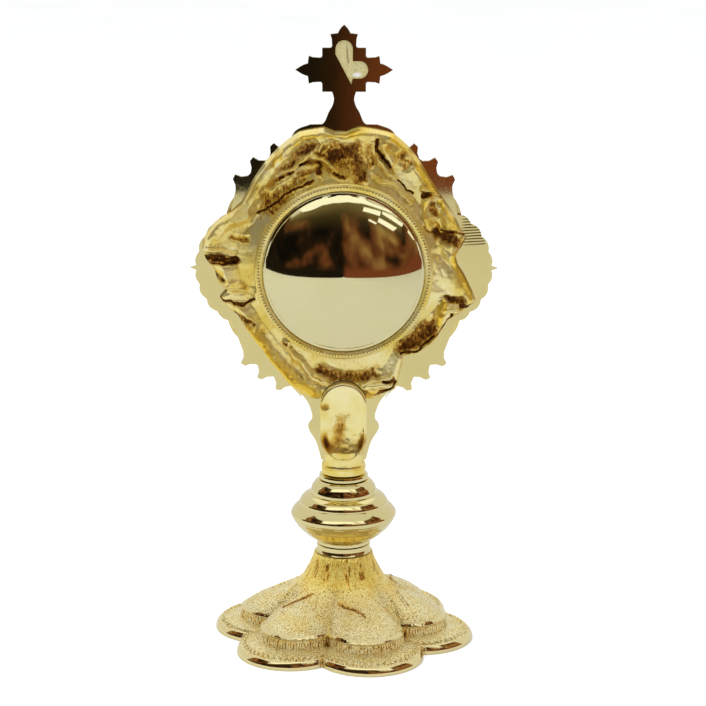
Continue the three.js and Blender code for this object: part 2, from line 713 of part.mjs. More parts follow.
// Front casting: a wavy ring of swelling leaves, with a rebate behind it for the case's flange.
function makeFrontCasting() {
  const rebate = CASE_RADIUS + CASE_FLANGE + FIT;
  const rebateDepth = castFace + CASE_FLANGE_THICKNESS + FIT;
  const geometry = ringOfLoops(FRONT_CAST_STEPS, (angle) => {
    const wave = Math.abs(Math.cos((FRONT_CAST_WAVES * angle) / 2));
    const width = FRONT_CAST_REACH + FRONT_CAST_SWELL * wave - holeRadius;
    const at = (r, depth) => [r * Math.cos(angle), depth, r * Math.sin(angle)];
    return [
      ...FRONT_SECTION.map(([share, height, crest]) =>
        at(holeRadius + width * share, castFace + height + crest * wave),
      ),
      at(holeRadius + width, castFace),
      at(rebate, castFace),
      at(rebate, rebateDepth),
      at(holeRadius, rebateDepth),
    ];
  });
  return geometry.translate(0, 0, headZ);
}

// Relic case and what it holds

const sealFront = CASE_FRONT - CASE_LIP_THICKNESS - FIT;
const glassFront = sealFront - SEAL_THICKNESS - FIT;
const holderFront = glassFront - GLASS_THICKNESS - FIT;
const padFront = holderFront - HOLDER_THICKNESS - FIT;
const backingFront = padFront - PAD_THICKNESS - FIT;
const springFront = backingFront - BACKING_THICKNESS - FIT;

function makeCase() {
  const flange = CASE_RADIUS + CASE_FLANGE;
  const lip = caseBore - CASE_LIP;
  return turned([
    [caseBore, -CASE_BACK],
    [CASE_RADIUS, -CASE_BACK],
    [CASE_RADIUS, castFace],
    [flange, castFace],
    [flange, castFace + CASE_FLANGE_THICKNESS],
    [CASE_RADIUS, castFace + CASE_FLANGE_THICKNESS],
    [CASE_RADIUS, CASE_FRONT],
    [lip, CASE_FRONT],
    [lip, CASE_FRONT - CASE_LIP_THICKNESS],
    [caseBore, CASE_FRONT - CASE_LIP_THICKNESS],
  ]).translate(0, 0, headZ);
}

// A flat disc that drops into the case, from its front face back.
function disc(radius, front, thickness) {
  const profile = [
    [0, front - thickness],
    [radius, front - thickness],
    [radius, front],
    [0, front],
  ];
  return turned(profile).translate(0, 0, headZ);
}

// A soft ring between the case's lip and the glass.
function makeSeal() {
  const bore = insideFit - CASE_LIP;
  const profile = [
    [bore, sealFront - SEAL_THICKNESS],
    [insideFit, sealFront - SEAL_THICKNESS],
    [insideFit, sealFront],
    [bore, sealFront],
  ];
  return turned(profile).translate(0, 0, headZ);
}

// A small round frame with a closed back, which holds the relic in the middle of the pad.
function makeRelicHolder() {
  const back = holderFront - HOLDER_THICKNESS;
  const floor = back + HOLDER_THICKNESS / 3;
  const profile = [
    [0, back],
    [HOLDER_RADIUS, back],
    [HOLDER_RADIUS, holderFront - HOLDER_THICKNESS / 3],
    [HOLDER_RADIUS - HOLDER_THICKNESS / 3, holderFront],
    [HOLDER_WINDOW, holderFront],
    [HOLDER_WINDOW, floor],
    [0, floor],
  ];
  return turned(profile, 24).translate(0, 0, headZ);
}

// The pad is crowned where the relic lies on it.
function makePad() {
  const edge = PAD_THICKNESS / 4;
  return turned([
    [0, padFront - PAD_THICKNESS],
    [insideFit, padFront - PAD_THICKNESS],
    [insideFit, padFront - 3 * edge],
    [insideFit * 0.92, padFront - edge],
    [insideFit * 0.6, padFront - edge / 4],
    [0, padFront],
  ]).translate(0, 0, headZ);
}

// A sprung ring with a gap, which holds the backing in the case.
function makeSpringRing() {
  const opening = radians(SPRING_GAP);
  const shape = new THREE.Shape();
  shape.absarc(0, 0, insideFit, opening / 2, 2 * Math.PI - opening / 2);
  shape.absarc(0, 0, insideFit - SPRING_WIDTH, 2 * Math.PI - opening / 2, opening / 2, true);
  return upright(shape, springFront - SPRING_THICKNESS, springFront)
    .rotateY(-Math.PI / 2)
    .translate(0, 0, headZ);
}

// Ring that screws on to one end of the case, with a row of beads on its face.
// side is -1 for the back and 1 for the front; the rebate takes the edge of the domed cover.
function makeBeadRing(side, beads, rebate) {
  const outer = coverRadius + FIT + RING_WIDTH;
  const seat = ringSeat;
  const shelf = rebate ? CASE_BACK : CASE_FRONT + FIT;
  const inner = rebate ? coverRadius + FIT : holeRadius;
  const geometry = ringOfLoops(beads * 2, (angle, i) => {
    const rise = RING_HEIGHT + (i % 2 ? BEAD_HEIGHT : 0);
    const section = [
      [holeRadius, seat],
      [outer, seat],
      [outer - RING_BEVEL, seat + RING_HEIGHT],
      [inner + RING_BEVEL, seat + rise],
    ];
    if (!rebate) section.push([inner, seat + RING_HEIGHT]);
    if (rebate) section.push([inner, shelf], [holeRadius, shelf]);
    const loop = section.map(([r, h]) => [r * Math.cos(angle), side * h, r * Math.sin(angle)]);
    return side < 0 ? loop : loop.reverse();
  });
  return geometry.translate(0, 0, headZ);
}

// Domed cover that pushes into the back of the case
function makeCover() {
  const seat = CASE_BACK + FIT;
  const rimBack = seat + COVER_EDGE;
  const skirtInner = insideFit - COVER_WALL;
  const arcOf = (radius, rise) => {
    const sphere = (radius ** 2 + rise ** 2) / (2 * rise);
    const open = Math.asin(radius / sphere);
    return Array.from({ length: DOME_RINGS + 1 }, (_, i) => {
      const turn = (open * i) / DOME_RINGS;
      return [sphere * Math.sin(turn), sphere * (Math.cos(turn) - 1) + rise];
    });
  };
  const outerDome = arcOf(coverRadius - FIT, DOME_RISE).map(([r, h]) => [r, -rimBack - h]);
  const innerDome = arcOf(skirtInner, DOME_RISE - COVER_WALL).map(([r, h]) => [r, -rimBack - h]);
  return turned([
    ...outerDome,
    [coverRadius, -rimBack + COVER_EDGE / 4],
    [coverRadius, -seat],
    [insideFit, -seat],
    [insideFit, -seat + COVER_SKIRT],
    [skirtInner, -seat + COVER_SKIRT],
    ...innerDome.reverse(),
  ]).translate(0, 0, headZ);
}

// Assembly

const foot = new THREE.Group();
foot.add(
  piece("foot", makeFoot(), stippledGold),
  piece("foot_washer", makeWasher(), steel),
  piece("foot_nut", makeNut(), steel),
  piece("tie_rod", makeRod(), steel),
);

const stem = new THREE.Group();
stem.add(
  piece("foot_collar", makeCollar(), gold),
  piece("knop", makeKnop(), gold),
  piece("neck_ring", makeNeckRing(), gold),
  piece("head_fork", makeFork(), castGold),
);

const head = new THREE.Group();
head.add(
  piece("sunburst_plate", makePlate(), gold),
  piece("back_casting", makeBackCasting(), castGold),
  piece("front_casting", makeFrontCasting(), castGold),
);

const relicCase = new THREE.Group();
relicCase.add(
  piece("case_barrel", makeCase(), brass),
  piece("window_glass", disc(insideFit, glassFront, GLASS_THICKNESS), glass),
  piece("window_seal", makeSeal(), cork),
  piece("relic_holder", makeRelicHolder(), brass),
  piece("relic_pad", makePad(), velvet),
  piece("backing_disc", disc(insideFit, backingFront, BACKING_THICKNESS), brass),
  piece("spring_ring", makeSpringRing(), steel),
  piece("back_bead_ring", makeBeadRing(-1, RING_BACK_BEADS, true), gold),
  piece("front_bead_ring", makeBeadRing(1, RING_FRONT_BEADS, false), gold),
  piece("rear_cover", makeCover(), gold),
);

const reliquary = new THREE.Group();
reliquary.add(foot, stem, head, relicCase);

export default reliquary;
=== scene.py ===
import math

import bmesh
import bpy
import numpy as np
from mathutils import Matrix, Vector, noise


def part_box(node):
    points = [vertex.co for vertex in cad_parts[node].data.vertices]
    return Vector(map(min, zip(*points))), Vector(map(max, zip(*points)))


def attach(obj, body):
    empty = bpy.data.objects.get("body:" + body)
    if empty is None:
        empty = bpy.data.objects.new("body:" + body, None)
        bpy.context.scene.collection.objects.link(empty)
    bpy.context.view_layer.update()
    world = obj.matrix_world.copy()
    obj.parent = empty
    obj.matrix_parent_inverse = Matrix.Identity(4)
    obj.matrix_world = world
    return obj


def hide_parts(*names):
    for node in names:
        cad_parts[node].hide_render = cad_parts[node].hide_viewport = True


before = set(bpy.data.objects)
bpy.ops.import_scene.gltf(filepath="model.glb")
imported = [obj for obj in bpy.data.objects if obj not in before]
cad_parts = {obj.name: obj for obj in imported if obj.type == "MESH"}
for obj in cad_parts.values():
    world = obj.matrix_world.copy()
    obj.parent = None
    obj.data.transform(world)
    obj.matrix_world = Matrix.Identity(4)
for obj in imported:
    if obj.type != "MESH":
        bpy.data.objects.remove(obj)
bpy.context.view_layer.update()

MM = 0.001

# The view from behind the reliquary and a little above it, with a long lens. The object stands
# left of the middle of the picture, so the camera stands a little to its right.
CAMERA_PLACE = (0.0032, -0.7, 0.2615)
LOOKS_DOWN = 12.9
LEANS = 0.14


def placed(name, data):
    """A new object in the scene, for a mesh, a curve, a light or a camera."""
    made = bpy.data.objects.new(name, data)
    bpy.context.collection.objects.link(made)
    return made


camera_data = bpy.data.cameras.new("camera")
camera_data.sensor_width = 36
camera_data.lens = 106.3
camera_data.clip_start = 0.05
camera = placed("camera", camera_data)
camera.location = CAMERA_PLACE
tilt = Matrix.Rotation(math.radians(90 - LOOKS_DOWN), 3, "X")
camera.rotation_euler = (tilt @ Matrix.Rotation(math.radians(LEANS), 3, "Z")).to_euler()
bpy.context.scene.camera = camera

# Foot: a hollow brass casting with six lobes round a fluted neck, gilded over a stippled ground.
# Each lobe has a step with a ribbed wall, and a sloping margin with a row of pitted pearls inside
# its polished rim.
FOOT_STEPS = 1440
FOOT_LOBES = 6
LOBE_CENTRE = 27.2
LOBE_RADIUS = 18.8
FOOT_TURN = math.radians(19)
RIM_HEIGHT = 3
RIM_ROUND = 1.5
RIM_EDGE = 0.5
MARGIN_WIDTH = 9.2
MARGIN_TOP = 4.6
STEP_HEIGHT = 3.4
STEP_LEAN = 0.5
PAD_CROWN = 1.3
NECK_TOP = 10.3
NECK_FOOT = 14.6
NECK_HEIGHT = 9.5
FLUTE_PLACE = 0.4
FLUTE_WIDTH = 0.27
FLUTE_DEPTH = 0.5
GROOVE_DEPTH = 0.4
WALL = 1.6
ROD_HOLE = 3.2
PEARL_PITCH = 2.3
PEARL_INSET = 2.9
PEARL_RADIUS = 1.1
PEARL_RISE = 0.7
PIT_DEPTH = 0.5
RIB_PITCH = 1.2
RIB_DEPTH = 0.14
LIP_OUT = 0.4
LIP_RISE = 0.25


def add(tree, kind, inputs=None, **settings):
    """Adds a shader node; an input is a value, or the socket that feeds it."""
    made = tree.nodes.new("ShaderNode" + kind)
    for key, value in settings.items():
        setattr(made, key, value)
    for key, value in (inputs or {}).items():
        if isinstance(value, bpy.types.NodeSocket):
            tree.links.new(value, made.inputs[key])
        else:
            made.inputs[key].default_value = value
    return made


def shades(tree, source, *stops):
    """A ramp of (place, colour) stops, fed by a socket."""
    ramp = add(tree, "ValToRGB", {"Fac": source})
    elements = ramp.color_ramp.elements
    while len(elements) < len(stops):
        elements.new(0.5)
    for element, (place, colour) in zip(elements, stops):
        element.position = place
        element.color = (*colour, 1) if len(colour) == 3 else (colour[0],) * 3 + (1,)
    return ramp.outputs["Color"]


def between(tree, source, low, high, to_low, to_high):
    """Maps a socket's values from one range to another."""
    values = {"Value": source, "From Min": low, "From Max": high, "To Min": to_low, "To Max": to_high}
    return add(tree, "MapRange", values).outputs["Result"]


def reckon(tree, operation, first, second):
    """Adds, multiplies or compares two values."""
    return add(tree, "Math", {0: first, 1: second}, operation=operation).outputs[0]


def blend(tree, share, first, second, way="MIX"):
    """Mixes the second colour into the first by a share, or multiplies the first by it."""
    inputs = {0: share, 6: first, 7: second}
    return add(tree, "Mix", inputs, data_type="RGBA", blend_type=way).outputs[2]


def clouds(tree, place, scale, detail, roughness=0.5):
    """Soft irregular patches, or specks where the scale is large."""
    inputs = {"Vector": place, "Scale": scale, "Detail": detail, "Roughness": roughness}
    return add(tree, "TexNoise", inputs).outputs["Fac"]


def stretched(tree, place, **changes):
    """Coordinates that are scaled, turned or moved."""
    return add(tree, "Mapping", {"Vector": place, **changes}).outputs[0]


def dents(tree, strength, distance, height, **settings):
    """A fine unevenness of the surface."""
    inputs = {"Strength": strength, "Distance": distance, "Height": height}
    return add(tree, "Bump", inputs, **settings).outputs["Normal"]


def painted(tree, name):
    """A value that the mesh holds at each of its points."""
    return add(tree, "Attribute", attribute_name=name).outputs["Fac"]


def finish_of(name, metallic):
    """An empty material, with its node tree, shader and object coordinates."""
    material = bpy.data.materials.new(name)
    material.use_nodes = True
    tree = material.node_tree
    shader = tree.nodes["Principled BSDF"]
    shader.inputs["Metallic"].default_value = metallic
    return material, tree, shader, add(tree, "TexCoord").outputs["Object"]


def feed(tree, shader, **sockets):
    """Links sockets to the shader's inputs by name, with _ for a space."""
    for key, socket in sockets.items():
        tree.links.new(socket, shader.inputs[key.replace("_", " ")])


def skin(name, rows, closed=False, crease=40, tarnish_and_shading=None):
    """A mesh over rows of points in millimetres, each row running once round; closed also joins
    the last row to the first. The tarnish value is a share for each point: real tarnish, and on
    some pieces painted shade and painted highlight as well."""
    rows = np.asarray(rows, float)
    count, steps = rows.shape[:2]
    last = count if closed else count - 1
    i, j = np.meshgrid(np.arange(last), np.arange(steps), indexing="ij")
    near, far = i * steps, ((i + 1) % count) * steps
    after = (j + 1) % steps
    faces = np.stack([near + j, near + after, far + after, far + j], -1).reshape(-1, 4)
    mesh = bpy.data.meshes.new(name)
    mesh.from_pydata((rows.reshape(-1, 3) * MM).tolist(), [], faces.tolist())
    if tarnish_and_shading is not None:
        layer = mesh.attributes.new("tarnish_and_shading", "FLOAT", "POINT")
        layer.data.foreach_set("value", np.asarray(tarnish_and_shading, np.float32).ravel())
    tidy = bmesh.new()
    tidy.from_mesh(mesh)
    bmesh.ops.remove_doubles(tidy, verts=tidy.verts, dist=1e-7)
    bmesh.ops.recalc_face_normals(tidy, faces=tidy.faces)
    tidy.to_mesh(mesh)
    tidy.free()
    mesh.shade_smooth()
    mesh.set_sharp_from_angle(angle=math.radians(crease))
    return placed(name, mesh)


def corners_of(node):
    """The low and the high corner of a CAD node's box, in millimetres."""
    return [np.array(corner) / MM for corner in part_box(node)]


def full_turn(steps):
    """Evenly spaced angles once round."""
    return np.linspace(0, 2 * math.pi, steps, endpoint=False)


def row_at(turn, radius, height):
    """A row of points round the upright axis, radius and height being one or many."""
    radius, height = radius * np.ones(len(turn)), height * np.ones(len(turn))
    return np.stack([radius * np.sin(turn), -radius * np.cos(turn), height], -1)


def fit(made, material, slot, *nodes, body="stand"):
    """Finishes a piece, sets it on its body and lets it stand for its CAD nodes."""
    made.data.materials.clear()
    made.data.materials.append(material)
    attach(made, body)
    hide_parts(*nodes)
    return made


def swell(distance, width):
    """A smooth rise, from 0 at one width away to 1 on the line itself."""
    return np.clip(1 - (distance / width) ** 2, 0, 1) ** 2


def away_from(line, x, z):
    """Distance of each point from a line of [x, z] points."""
    nearest = np.full(np.shape(x), 1e9)
    for (ax, az), (bx, bz) in zip(line, line[1:]):
        length = max((bx - ax) ** 2 + (bz - az) ** 2, 1e-9)
        share = np.clip(((x - ax) * (bx - ax) + (z - az) * (bz - az)) / length, 0, 1)
        gone = np.hypot(x - ax - share * (bx - ax), z - az - share * (bz - az))
        nearest = np.minimum(nearest, gone)
    return nearest


def grain(points, scale, seed=0):
    """Cast roughness from -1 to 1 at each point, scale being the size of a grain in millimetres."""
    scaled = np.asarray(points).reshape(-1, 3) / scale + seed * 17.3
    found = [noise.noise(Vector(point)) for point in scaled]
    return np.array(found).reshape(np.shape(points)[:-1])


lobe_turn = 2 * math.pi / FOOT_LOBES
around = full_turn(FOOT_STEPS)
off_lobe = around - np.round(around / lobe_turn) * lobe_turn
off = np.abs(off_lobe) / (lobe_turn / 2)
reach = LOBE_CENTRE * np.cos(off_lobe)
reach = reach + np.sqrt(LOBE_RADIUS**2 - (LOBE_CENTRE * np.sin(off_lobe)) ** 2)
lobe_edge = np.stack([reach * np.sin(around), reach * np.cos(around)], -1)
along_edge = np.cumsum(np.hypot(*(np.roll(lobe_edge, -1, 0) - lobe_edge).T))


def evenly(pitch):
    """Where each step lies within one of the marks along the edge, from -0.5 to 0.5."""
    length = along_edge[-1]
    marks = round(length / pitch / FOOT_LOBES) * FOOT_LOBES
    return (along_edge / length * marks) % 1 - 0.5


foot_top = corners_of("foot")[1][2]
step_foot = reach - MARGIN_WIDTH
step_top = step_foot - STEP_LEAN
pad_z = MARGIN_TOP + STEP_HEIGHT
neck_z = foot_top - NECK_HEIGHT
level = np.ones(FOOT_STEPS)
groove = swell(off - 1, 0.1)
lobe_of = np.round(around / lobe_turn).astype(int) % 2


def foot_neck(share):
    """Radius, height and tarnish round the neck, from its top at 0 to its foot at 1."""
    flute = np.sqrt(swell(off - FLUTE_PLACE, FLUTE_WIDTH))
    flute = flute * math.sin(math.pi * min(1, share * 0.85 + 0.1))
    radius = NECK_TOP + (NECK_FOOT - NECK_TOP) * share**1.4
    radius = radius - FLUTE_DEPTH * flute - GROOVE_DEPTH * groove * share
    height = foot_top - share * NECK_HEIGHT
    spots = np.stack([around * NECK_TOP / 0.5, 0 * around, level * height / 2.8], -1)
    strokes = np.clip(grain(spots, 1) * 3.4 + 0.3, -0.2, 1)
    return radius, height * level, np.clip(1.25 * flute * strokes, 0, 1)


# Raised leaf edges on a lobe, in degrees from its axis and millimetres from the foot's axis, with
# how dark the painted shadow along the foot of the edge is. Two patterns take turns round the foot.
LEAF_EDGES = [
    (0, [(-14, 13.4), (-17, 17), (-22, 21.5), (-28, 26)], 0.5),
    (1, [(-14, 13.4), (-17, 17), (-22, 21.5), (-28, 26)], 0.5),
    (0, [(14, 13.4), (19, 18), (26, 23)], 0.6),
    (0, [(-24, 17.5), (-19.6, 19.2), (-6.5, 22.1), (-2.2, 25.2)], 1.2),
    (1, [(2, 16.5), (-5.6, 18.9), (-15.8, 24.5)], 1.2),
    (1, [(11, 14), (9, 18), (14, 22)], 0.6),
]
EDGE_WIDTH = 0.7
EDGE_RISE = 0.5
EDGE_SHADE = 0.9


def foot_pad(share):
    """The top of a lobe, from the neck's foot at 1 out to the step at 0."""
    radius = step_top + (NECK_FOOT - step_top) * share
    rise = 0.72 * share**0.85 + 0.28 * share**6
    fade = math.sin(math.pi * share**0.85)
    height = pad_z + (neck_z - pad_z) * rise
    height = height + PAD_CROWN * (1 - off**2) * fade - GROOVE_DEPTH / 2 * groove * fade
    x, z = radius * np.sin(off_lobe), radius * np.cos(off_lobe)
    # Painted shade in the crease between lobes; the value also rises a little towards the neck.
    stain_and_shade = 0.12 * groove * share + 0.12 * np.clip(share - 0.75, 0, 1)
    for pattern, line, dark in LEAF_EDGES:
        angles = [math.radians(degrees) for degrees, _ in line]
        corners = [(r * math.sin(a), r * math.cos(a)) for a, (_, r) in zip(angles, line)]
        here = (lobe_of == pattern) * min(1, 4 * fade)
        ridge = np.sqrt(swell(away_from(corners, x, z), EDGE_WIDTH)) * here
        height = height + EDGE_RISE * ridge
        # Painted shadow: a dark band runs along the outer foot of each edge, and the edge itself is
        # polished.
        below = [(cx, cz + EDGE_WIDTH) for cx, cz in corners]
        stain_and_shade = np.maximum(stain_and_shade, dark * swell(away_from(below, x, z), EDGE_SHADE) * here) - 0.5 * ridge
    return radius, height, np.where(level * share < 0.05, -1, stain_and_shade)


def foot_step(share):
    """The ribbed wall under a rolled lip, from the lip at 0 down to 1."""
    rib = np.cos(2 * math.pi * evenly(RIB_PITCH))
    lip = swell(share - 0.07, 0.13)
    radius = step_top + STEP_LEAN * share + LIP_OUT * lip
    radius = radius - RIB_DEPTH * rib * math.sin(math.pi * share) ** 0.5
    height = pad_z - STEP_HEIGHT * share + LIP_RISE * lip * level
    stain_and_shade = (0.5 + 0.45 * rib) * np.clip(6 * share - 0.9, 0, 1) * (1.25 - 0.95 * share) - 1.4 * lip
    # Painted shade: the crease between lobes is darkened down the wall.
    return radius, height, np.clip(stain_and_shade + groove * share, -1, 1)


def foot_margin(share):
    """The sloping margin, from the step at 0 to the rim at 1, with its row of pearls."""
    width = MARGIN_WIDTH - RIM_ROUND
    height = MARGIN_TOP + (RIM_HEIGHT - MARGIN_TOP) * (0.35 * share + 0.65 * share**1.6)
    along = evenly(PEARL_PITCH) * PEARL_PITCH
    across = (share - 1) * width + PEARL_INSET - RIM_ROUND
    pearl = np.sqrt(swell(np.hypot(along, across), PEARL_RADIUS))
    pit = swell(np.hypot(np.abs(along) - PEARL_PITCH / 2, across), 0.75)
    pit = pit + swell(np.hypot(along, across + 0.3), 0.4)
    height = height + PEARL_RISE * pearl - PIT_DEPTH * np.clip(pit, 0, 1)
    # Brown in the pits between pearls; painted shade along the foot of the step and in the crease
    # between lobes.
    stain_and_shade = 0.75 * pit - 0.3 * pearl + 0.2 * swell(share, 0.12) + 0.2 * groove
    return step_foot + width * share, height, np.clip(stain_and_shade, -0.4, 1)


# How the rim's face leans in degrees from the upright, at shares of its height from the top.
RIM_LEAN = ([0, 0.45, 0.7, 1], [46, 31, 9, 2])


def foot_rim(count=16):
    """The polished rim, rounded from the margin down to the edge that stands on the floor."""
    drop, out, rows = 0, 0, []
    fall = (RIM_HEIGHT - RIM_EDGE) / (count - 1)
    for lean in np.interp(np.linspace(0, 1, count), *RIM_LEAN):
        rows.append((out, drop))
        out += fall * math.tan(math.radians(lean))
        drop += fall
    rows = [(-out - 0.12, RIM_HEIGHT + 0.02), *((r - out, RIM_HEIGHT - down) for r, down in rows)]
    rows += [(0, RIM_EDGE), (0, 0.15), (-0.2, 0)]
    # The rim is polished, with painted shade in the notch where two lobes meet.
    return [(reach + inset - 0.03, z * level, -1 * level + 1.6 * groove) for inset, z in rows]


foot_rows = [(r * level, foot_top * level, 0.2 * level) for r in (ROD_HOLE, NECK_TOP - 0.4)]
foot_rows += [foot_neck(s) for s in np.linspace(0, 1, 26)]
foot_rows += [foot_pad(s) for s in np.linspace(0.985, 0, 72)]
foot_rows += [foot_step(s) for s in np.linspace(0.03, 1, 20)]
foot_rows += [foot_margin(s) for s in np.linspace(0.02, 1, 48)]
stippled_to = len(foot_rows)
foot_rows += foot_rim()
under_foot = [(reach - WALL, 0), (reach - WALL - 0.7, 1.1), (step_foot - WALL, MARGIN_TOP - WALL)]
under_foot += [(step_top - WALL, pad_z - WALL)]
for share in (0.2, 0.4, 0.6, 0.85):
    radius, height, _ = foot_pad(share)
    under_foot.append((radius - WALL / 2, height - WALL - 0.2))
cavity = NECK_TOP - 0.8 - WALL
under_foot += [(cavity, neck_z + NECK_HEIGHT / 3), (cavity, foot_top - 4), (ROD_HOLE, foot_top - 4)]
foot_rows += [(r * level, z * level, 0.4 * level) for r, z in under_foot]
foot_grid = np.stack([row_at(around + FOOT_TURN, r, z) for r, z, _ in foot_rows])
foot_grid[2:stippled_to, :, 2] += 0.09 * grain(foot_grid[2:stippled_to], 0.8)
stains_and_shade = np.array([stain_and_shade for _, _, stain_and_shade in foot_rows])
foot = skin("lobed_foot", foot_grid, closed=True, crease=55, tarnish_and_shading=stains_and_shade)


def stippled_gilding():
    """Soft gilding over a finely punched ground, brown in its pits and yellower up the neck.
    Its tarnish value is -1 where the foot is polished and 1 where it is brown, from real tarnish and
    from painted shade in the creases between lobes and under the leaf edges."""
    material, tree, shader, place = finish_of("stippled_gilding", 0.8)
    state = painted(tree, "tarnish_and_shading")
    ground = between(tree, state, -0.5, -0.1, 0, 1)
    upright = stretched(tree, place, Scale=(1, 1, 0.24))
    cells = add(tree, "TexVoronoi", {"Vector": upright, "Scale": 2500}, feature="F1")
    hatch = clouds(tree, upright, 2600, 4)
    punches = reckon(tree, "MULTIPLY", cells.outputs["Distance"], hatch)
    pale = shades(tree, punches, (0.12, (1.0, 0.93, 0.58)), (0.28, (0.95, 0.83, 0.42)),
                  (0.46, (0.56, 0.38, 0.10)))
    cloud = clouds(tree, place, 210, 4)
    warm = shades(tree, cloud, (0.42, (1.0, 1.0, 1.0)), (0.62, (0.97, 0.90, 0.70)))
    gilt = blend(tree, 1.0, pale, warm, "MULTIPLY")
    upward = add(tree, "SeparateXYZ", {"Vector": place}).outputs["Z"]
    up_neck = between(tree, upward, (neck_z - 5) * MM, (neck_z + 1) * MM, 0, 1)
    gilt = blend(tree, up_neck, gilt, (1.15, 1.0, 0.46, 1), "MULTIPLY")
    patchy = reckon(tree, "ADD", state, between(tree, hatch, 0.35, 0.65, -0.3, 0.3))
    brown = between(tree, patchy, 0.25, 0.95, 0, 0.95)
    stain_and_shade = shades(tree, brown, (0, (1.0, 1.0, 1.0)), (0.45, (0.92, 0.70, 0.36)),
                   (1, (0.26, 0.13, 0.05)))
    dark = blend(tree, 1.0, gilt, stain_and_shade, "MULTIPLY")
    tint = blend(tree, ground, (0.88, 0.75, 0.38, 1), dark)
    rough = between(tree, ground, 0, 1, 0.07, 0.24)
    strength = between(tree, ground, 0, 1, 0, 0.8)
    pits = dents(tree, strength, 0.0004, punches, invert=True)
    metal = reckon(tree, "SUBTRACT", between(tree, ground, 0, 1, 1, 0.8),
                   between(tree, up_neck, 0, 1, 0, 0.3))
    feed(tree, shader, Base_Color=tint, Roughness=rough, Normal=pits, Metallic=metal)
    return material


fit(foot, stippled_gilding(), "gilt_stippled", "foot")

# Tie rod, washer and nut: plated steel, up the middle of the stem from under the foot. The rod's
# end is threaded and the nut's corners are turned off.
ROD_RADIUS = 2.9
THREAD_PITCH = 0.8
THREAD_DEPTH = 0.45
ROD_CHAMFER = 0.7
NUT_ACROSS = 10


def plated_steel():
    material, tree, shader, place = finish_of("plated_steel", 1)
    cloud = clouds(tree, place, 900, 5)
    tint = shades(tree, cloud, (0.35, (0.45, 0.45, 0.44)), (0.65, (0.62, 0.62, 0.60)))
    feed(tree, shader, Base_Color=tint, Roughness=between(tree, cloud, 0.3, 0.7, 0.25, 0.45))
    return material


def ring_rows(profile, steps):
    """Rows of a turned piece about the upright axis, from a profile of [radius, height] points."""
    return [row_at(full_turn(steps), r, z) for r, z in profile]


steel = plated_steel()
rod_low, rod_high = corners_of("tie_rod")
rod_turn = full_turn(48)
rod_rows = []
thread_top = foot_top - 2
for height in [*np.arange(rod_low[2], thread_top, 0.1), thread_top + 0.2, rod_high[2]]:
    winding = (height / THREAD_PITCH + rod_turn / (2 * math.pi)) % 1
    depth = THREAD_DEPTH * (2 * np.abs(winding - 0.5)) if height <= thread_top else 0
    radius = ROD_RADIUS - depth - max(0, ROD_CHAMFER - (height - rod_low[2]))
    rod_rows.append(row_at(rod_turn, radius, height))
rod_rows = [rod_rows[0] * [0, 0, 1], *rod_rows, rod_rows[-1] * [0, 0, 1]]
fit(skin("threaded_rod", rod_rows), steel, "steel", "tie_rod")

washer_low, washer_high = corners_of("foot_washer")
washer = [(ROD_HOLE, washer_low[2]), (5.9, washer_low[2]), (6.2, washer_low[2] + 0.25)]
washer += [(6.2, washer_high[2] - 0.25), (5.9, washer_high[2]), (ROD_HOLE, washer_high[2])]
fit(skin("steel_washer", ring_rows(washer, 72), closed=True), steel, "steel", "foot_washer")

nut_z = corners_of("foot_nut")[0][2]
nut_turn = full_turn(96)
flats = NUT_ACROSS / 2 / np.cos((nut_turn + math.pi / 6) % (math.pi / 3) - math.pi / 6)
nut = [(ROD_HOLE, 0), (4.6, 0), (5.2, 0.35), (5.8, 0.8), (5.8, 2.5), (5.8, 4.2), (5.2, 4.65)]
nut += [(4.6, 5), (ROD_HOLE, 5)]
nut_rows = [row_at(nut_turn, np.minimum(radius, flats), nut_z + height) for radius, height in nut]
fit(skin("hex_nut", nut_rows, closed=True, crease=25), steel, "steel", "foot_nut")

# Collar, knop and neck ring: turned from brass bar, polished and gilded, threaded on the tie rod
# one above the other. The knop is a bowl under three soft ridges, each with a flat ledge above it.
KNOP_HEIGHT = 22.9
KNOP_BORE = 5.5
BOWL_SWELL = 1.1
COLLAR_HEIGHT = 2.9
RING_HEIGHT = 1.7
STEM_GOLD = (0.83, 0.72, 0.37)
CLEARANCE = 0.3
# Faces of the knop from its top down: length, and the angle above the level that they look at
# where they start and end.
KNOP_FACES = [
    (0.3, 88, 60), (1.6, 56, 40), (1.15, 37.2, 34.8), (2.65, 28, 2), (0.3, -6, 10),
    (2.8, 78, 56), (0.5, 52, 40), (1.2, 37.2, 34.8), (0.95, 28, 2), (0.3, -4, 10),
    (2.9, 54, 40), (1.1, 37.2, 34.8), (0.75, 28, 2), (1.3, 0, -28), (0.4, -40, -25),
]


def polished_gilding(name, tone, waves, marks):
    """Mirror gilding. waves is how uneven the polish is, marks how much fine wiping shows."""
    material, tree, shader, place = finish_of(name, 1)
    cloud = clouds(tree, place, 70, 3)
    wipes = clouds(tree, place, 1300, 6)
    deeper = [0.96 * tone[0], 0.96 * tone[1], 0.88 * tone[2]]
    tint = shades(tree, cloud, (0.3, tone), (0.75, deeper))
    rough = between(tree, wipes, 0.35, 0.75, 0.035, 0.035 + marks)
    swim = dents(tree, waves, 0.0006, cloud)
    feed(tree, shader, Base_Color=tint, Roughness=rough, Normal=swim)
    return material


def rounded(start, end, out, count=10):
    """Points from start to end, swelling to the right of the way by out."""
    (r0, z0), (r1, z1) = start, end
    length = math.hypot(r1 - r0, z1 - z0)
    points = []
    for share in np.linspace(0, 1, count):
        lift = out * math.sin(math.pi * share) ** 0.8
        points.append((r0 + (r1 - r0) * share + lift * (z1 - z0) / length,
                       z0 + (z1 - z0) * share - lift * (r1 - r0) / length))
    return points


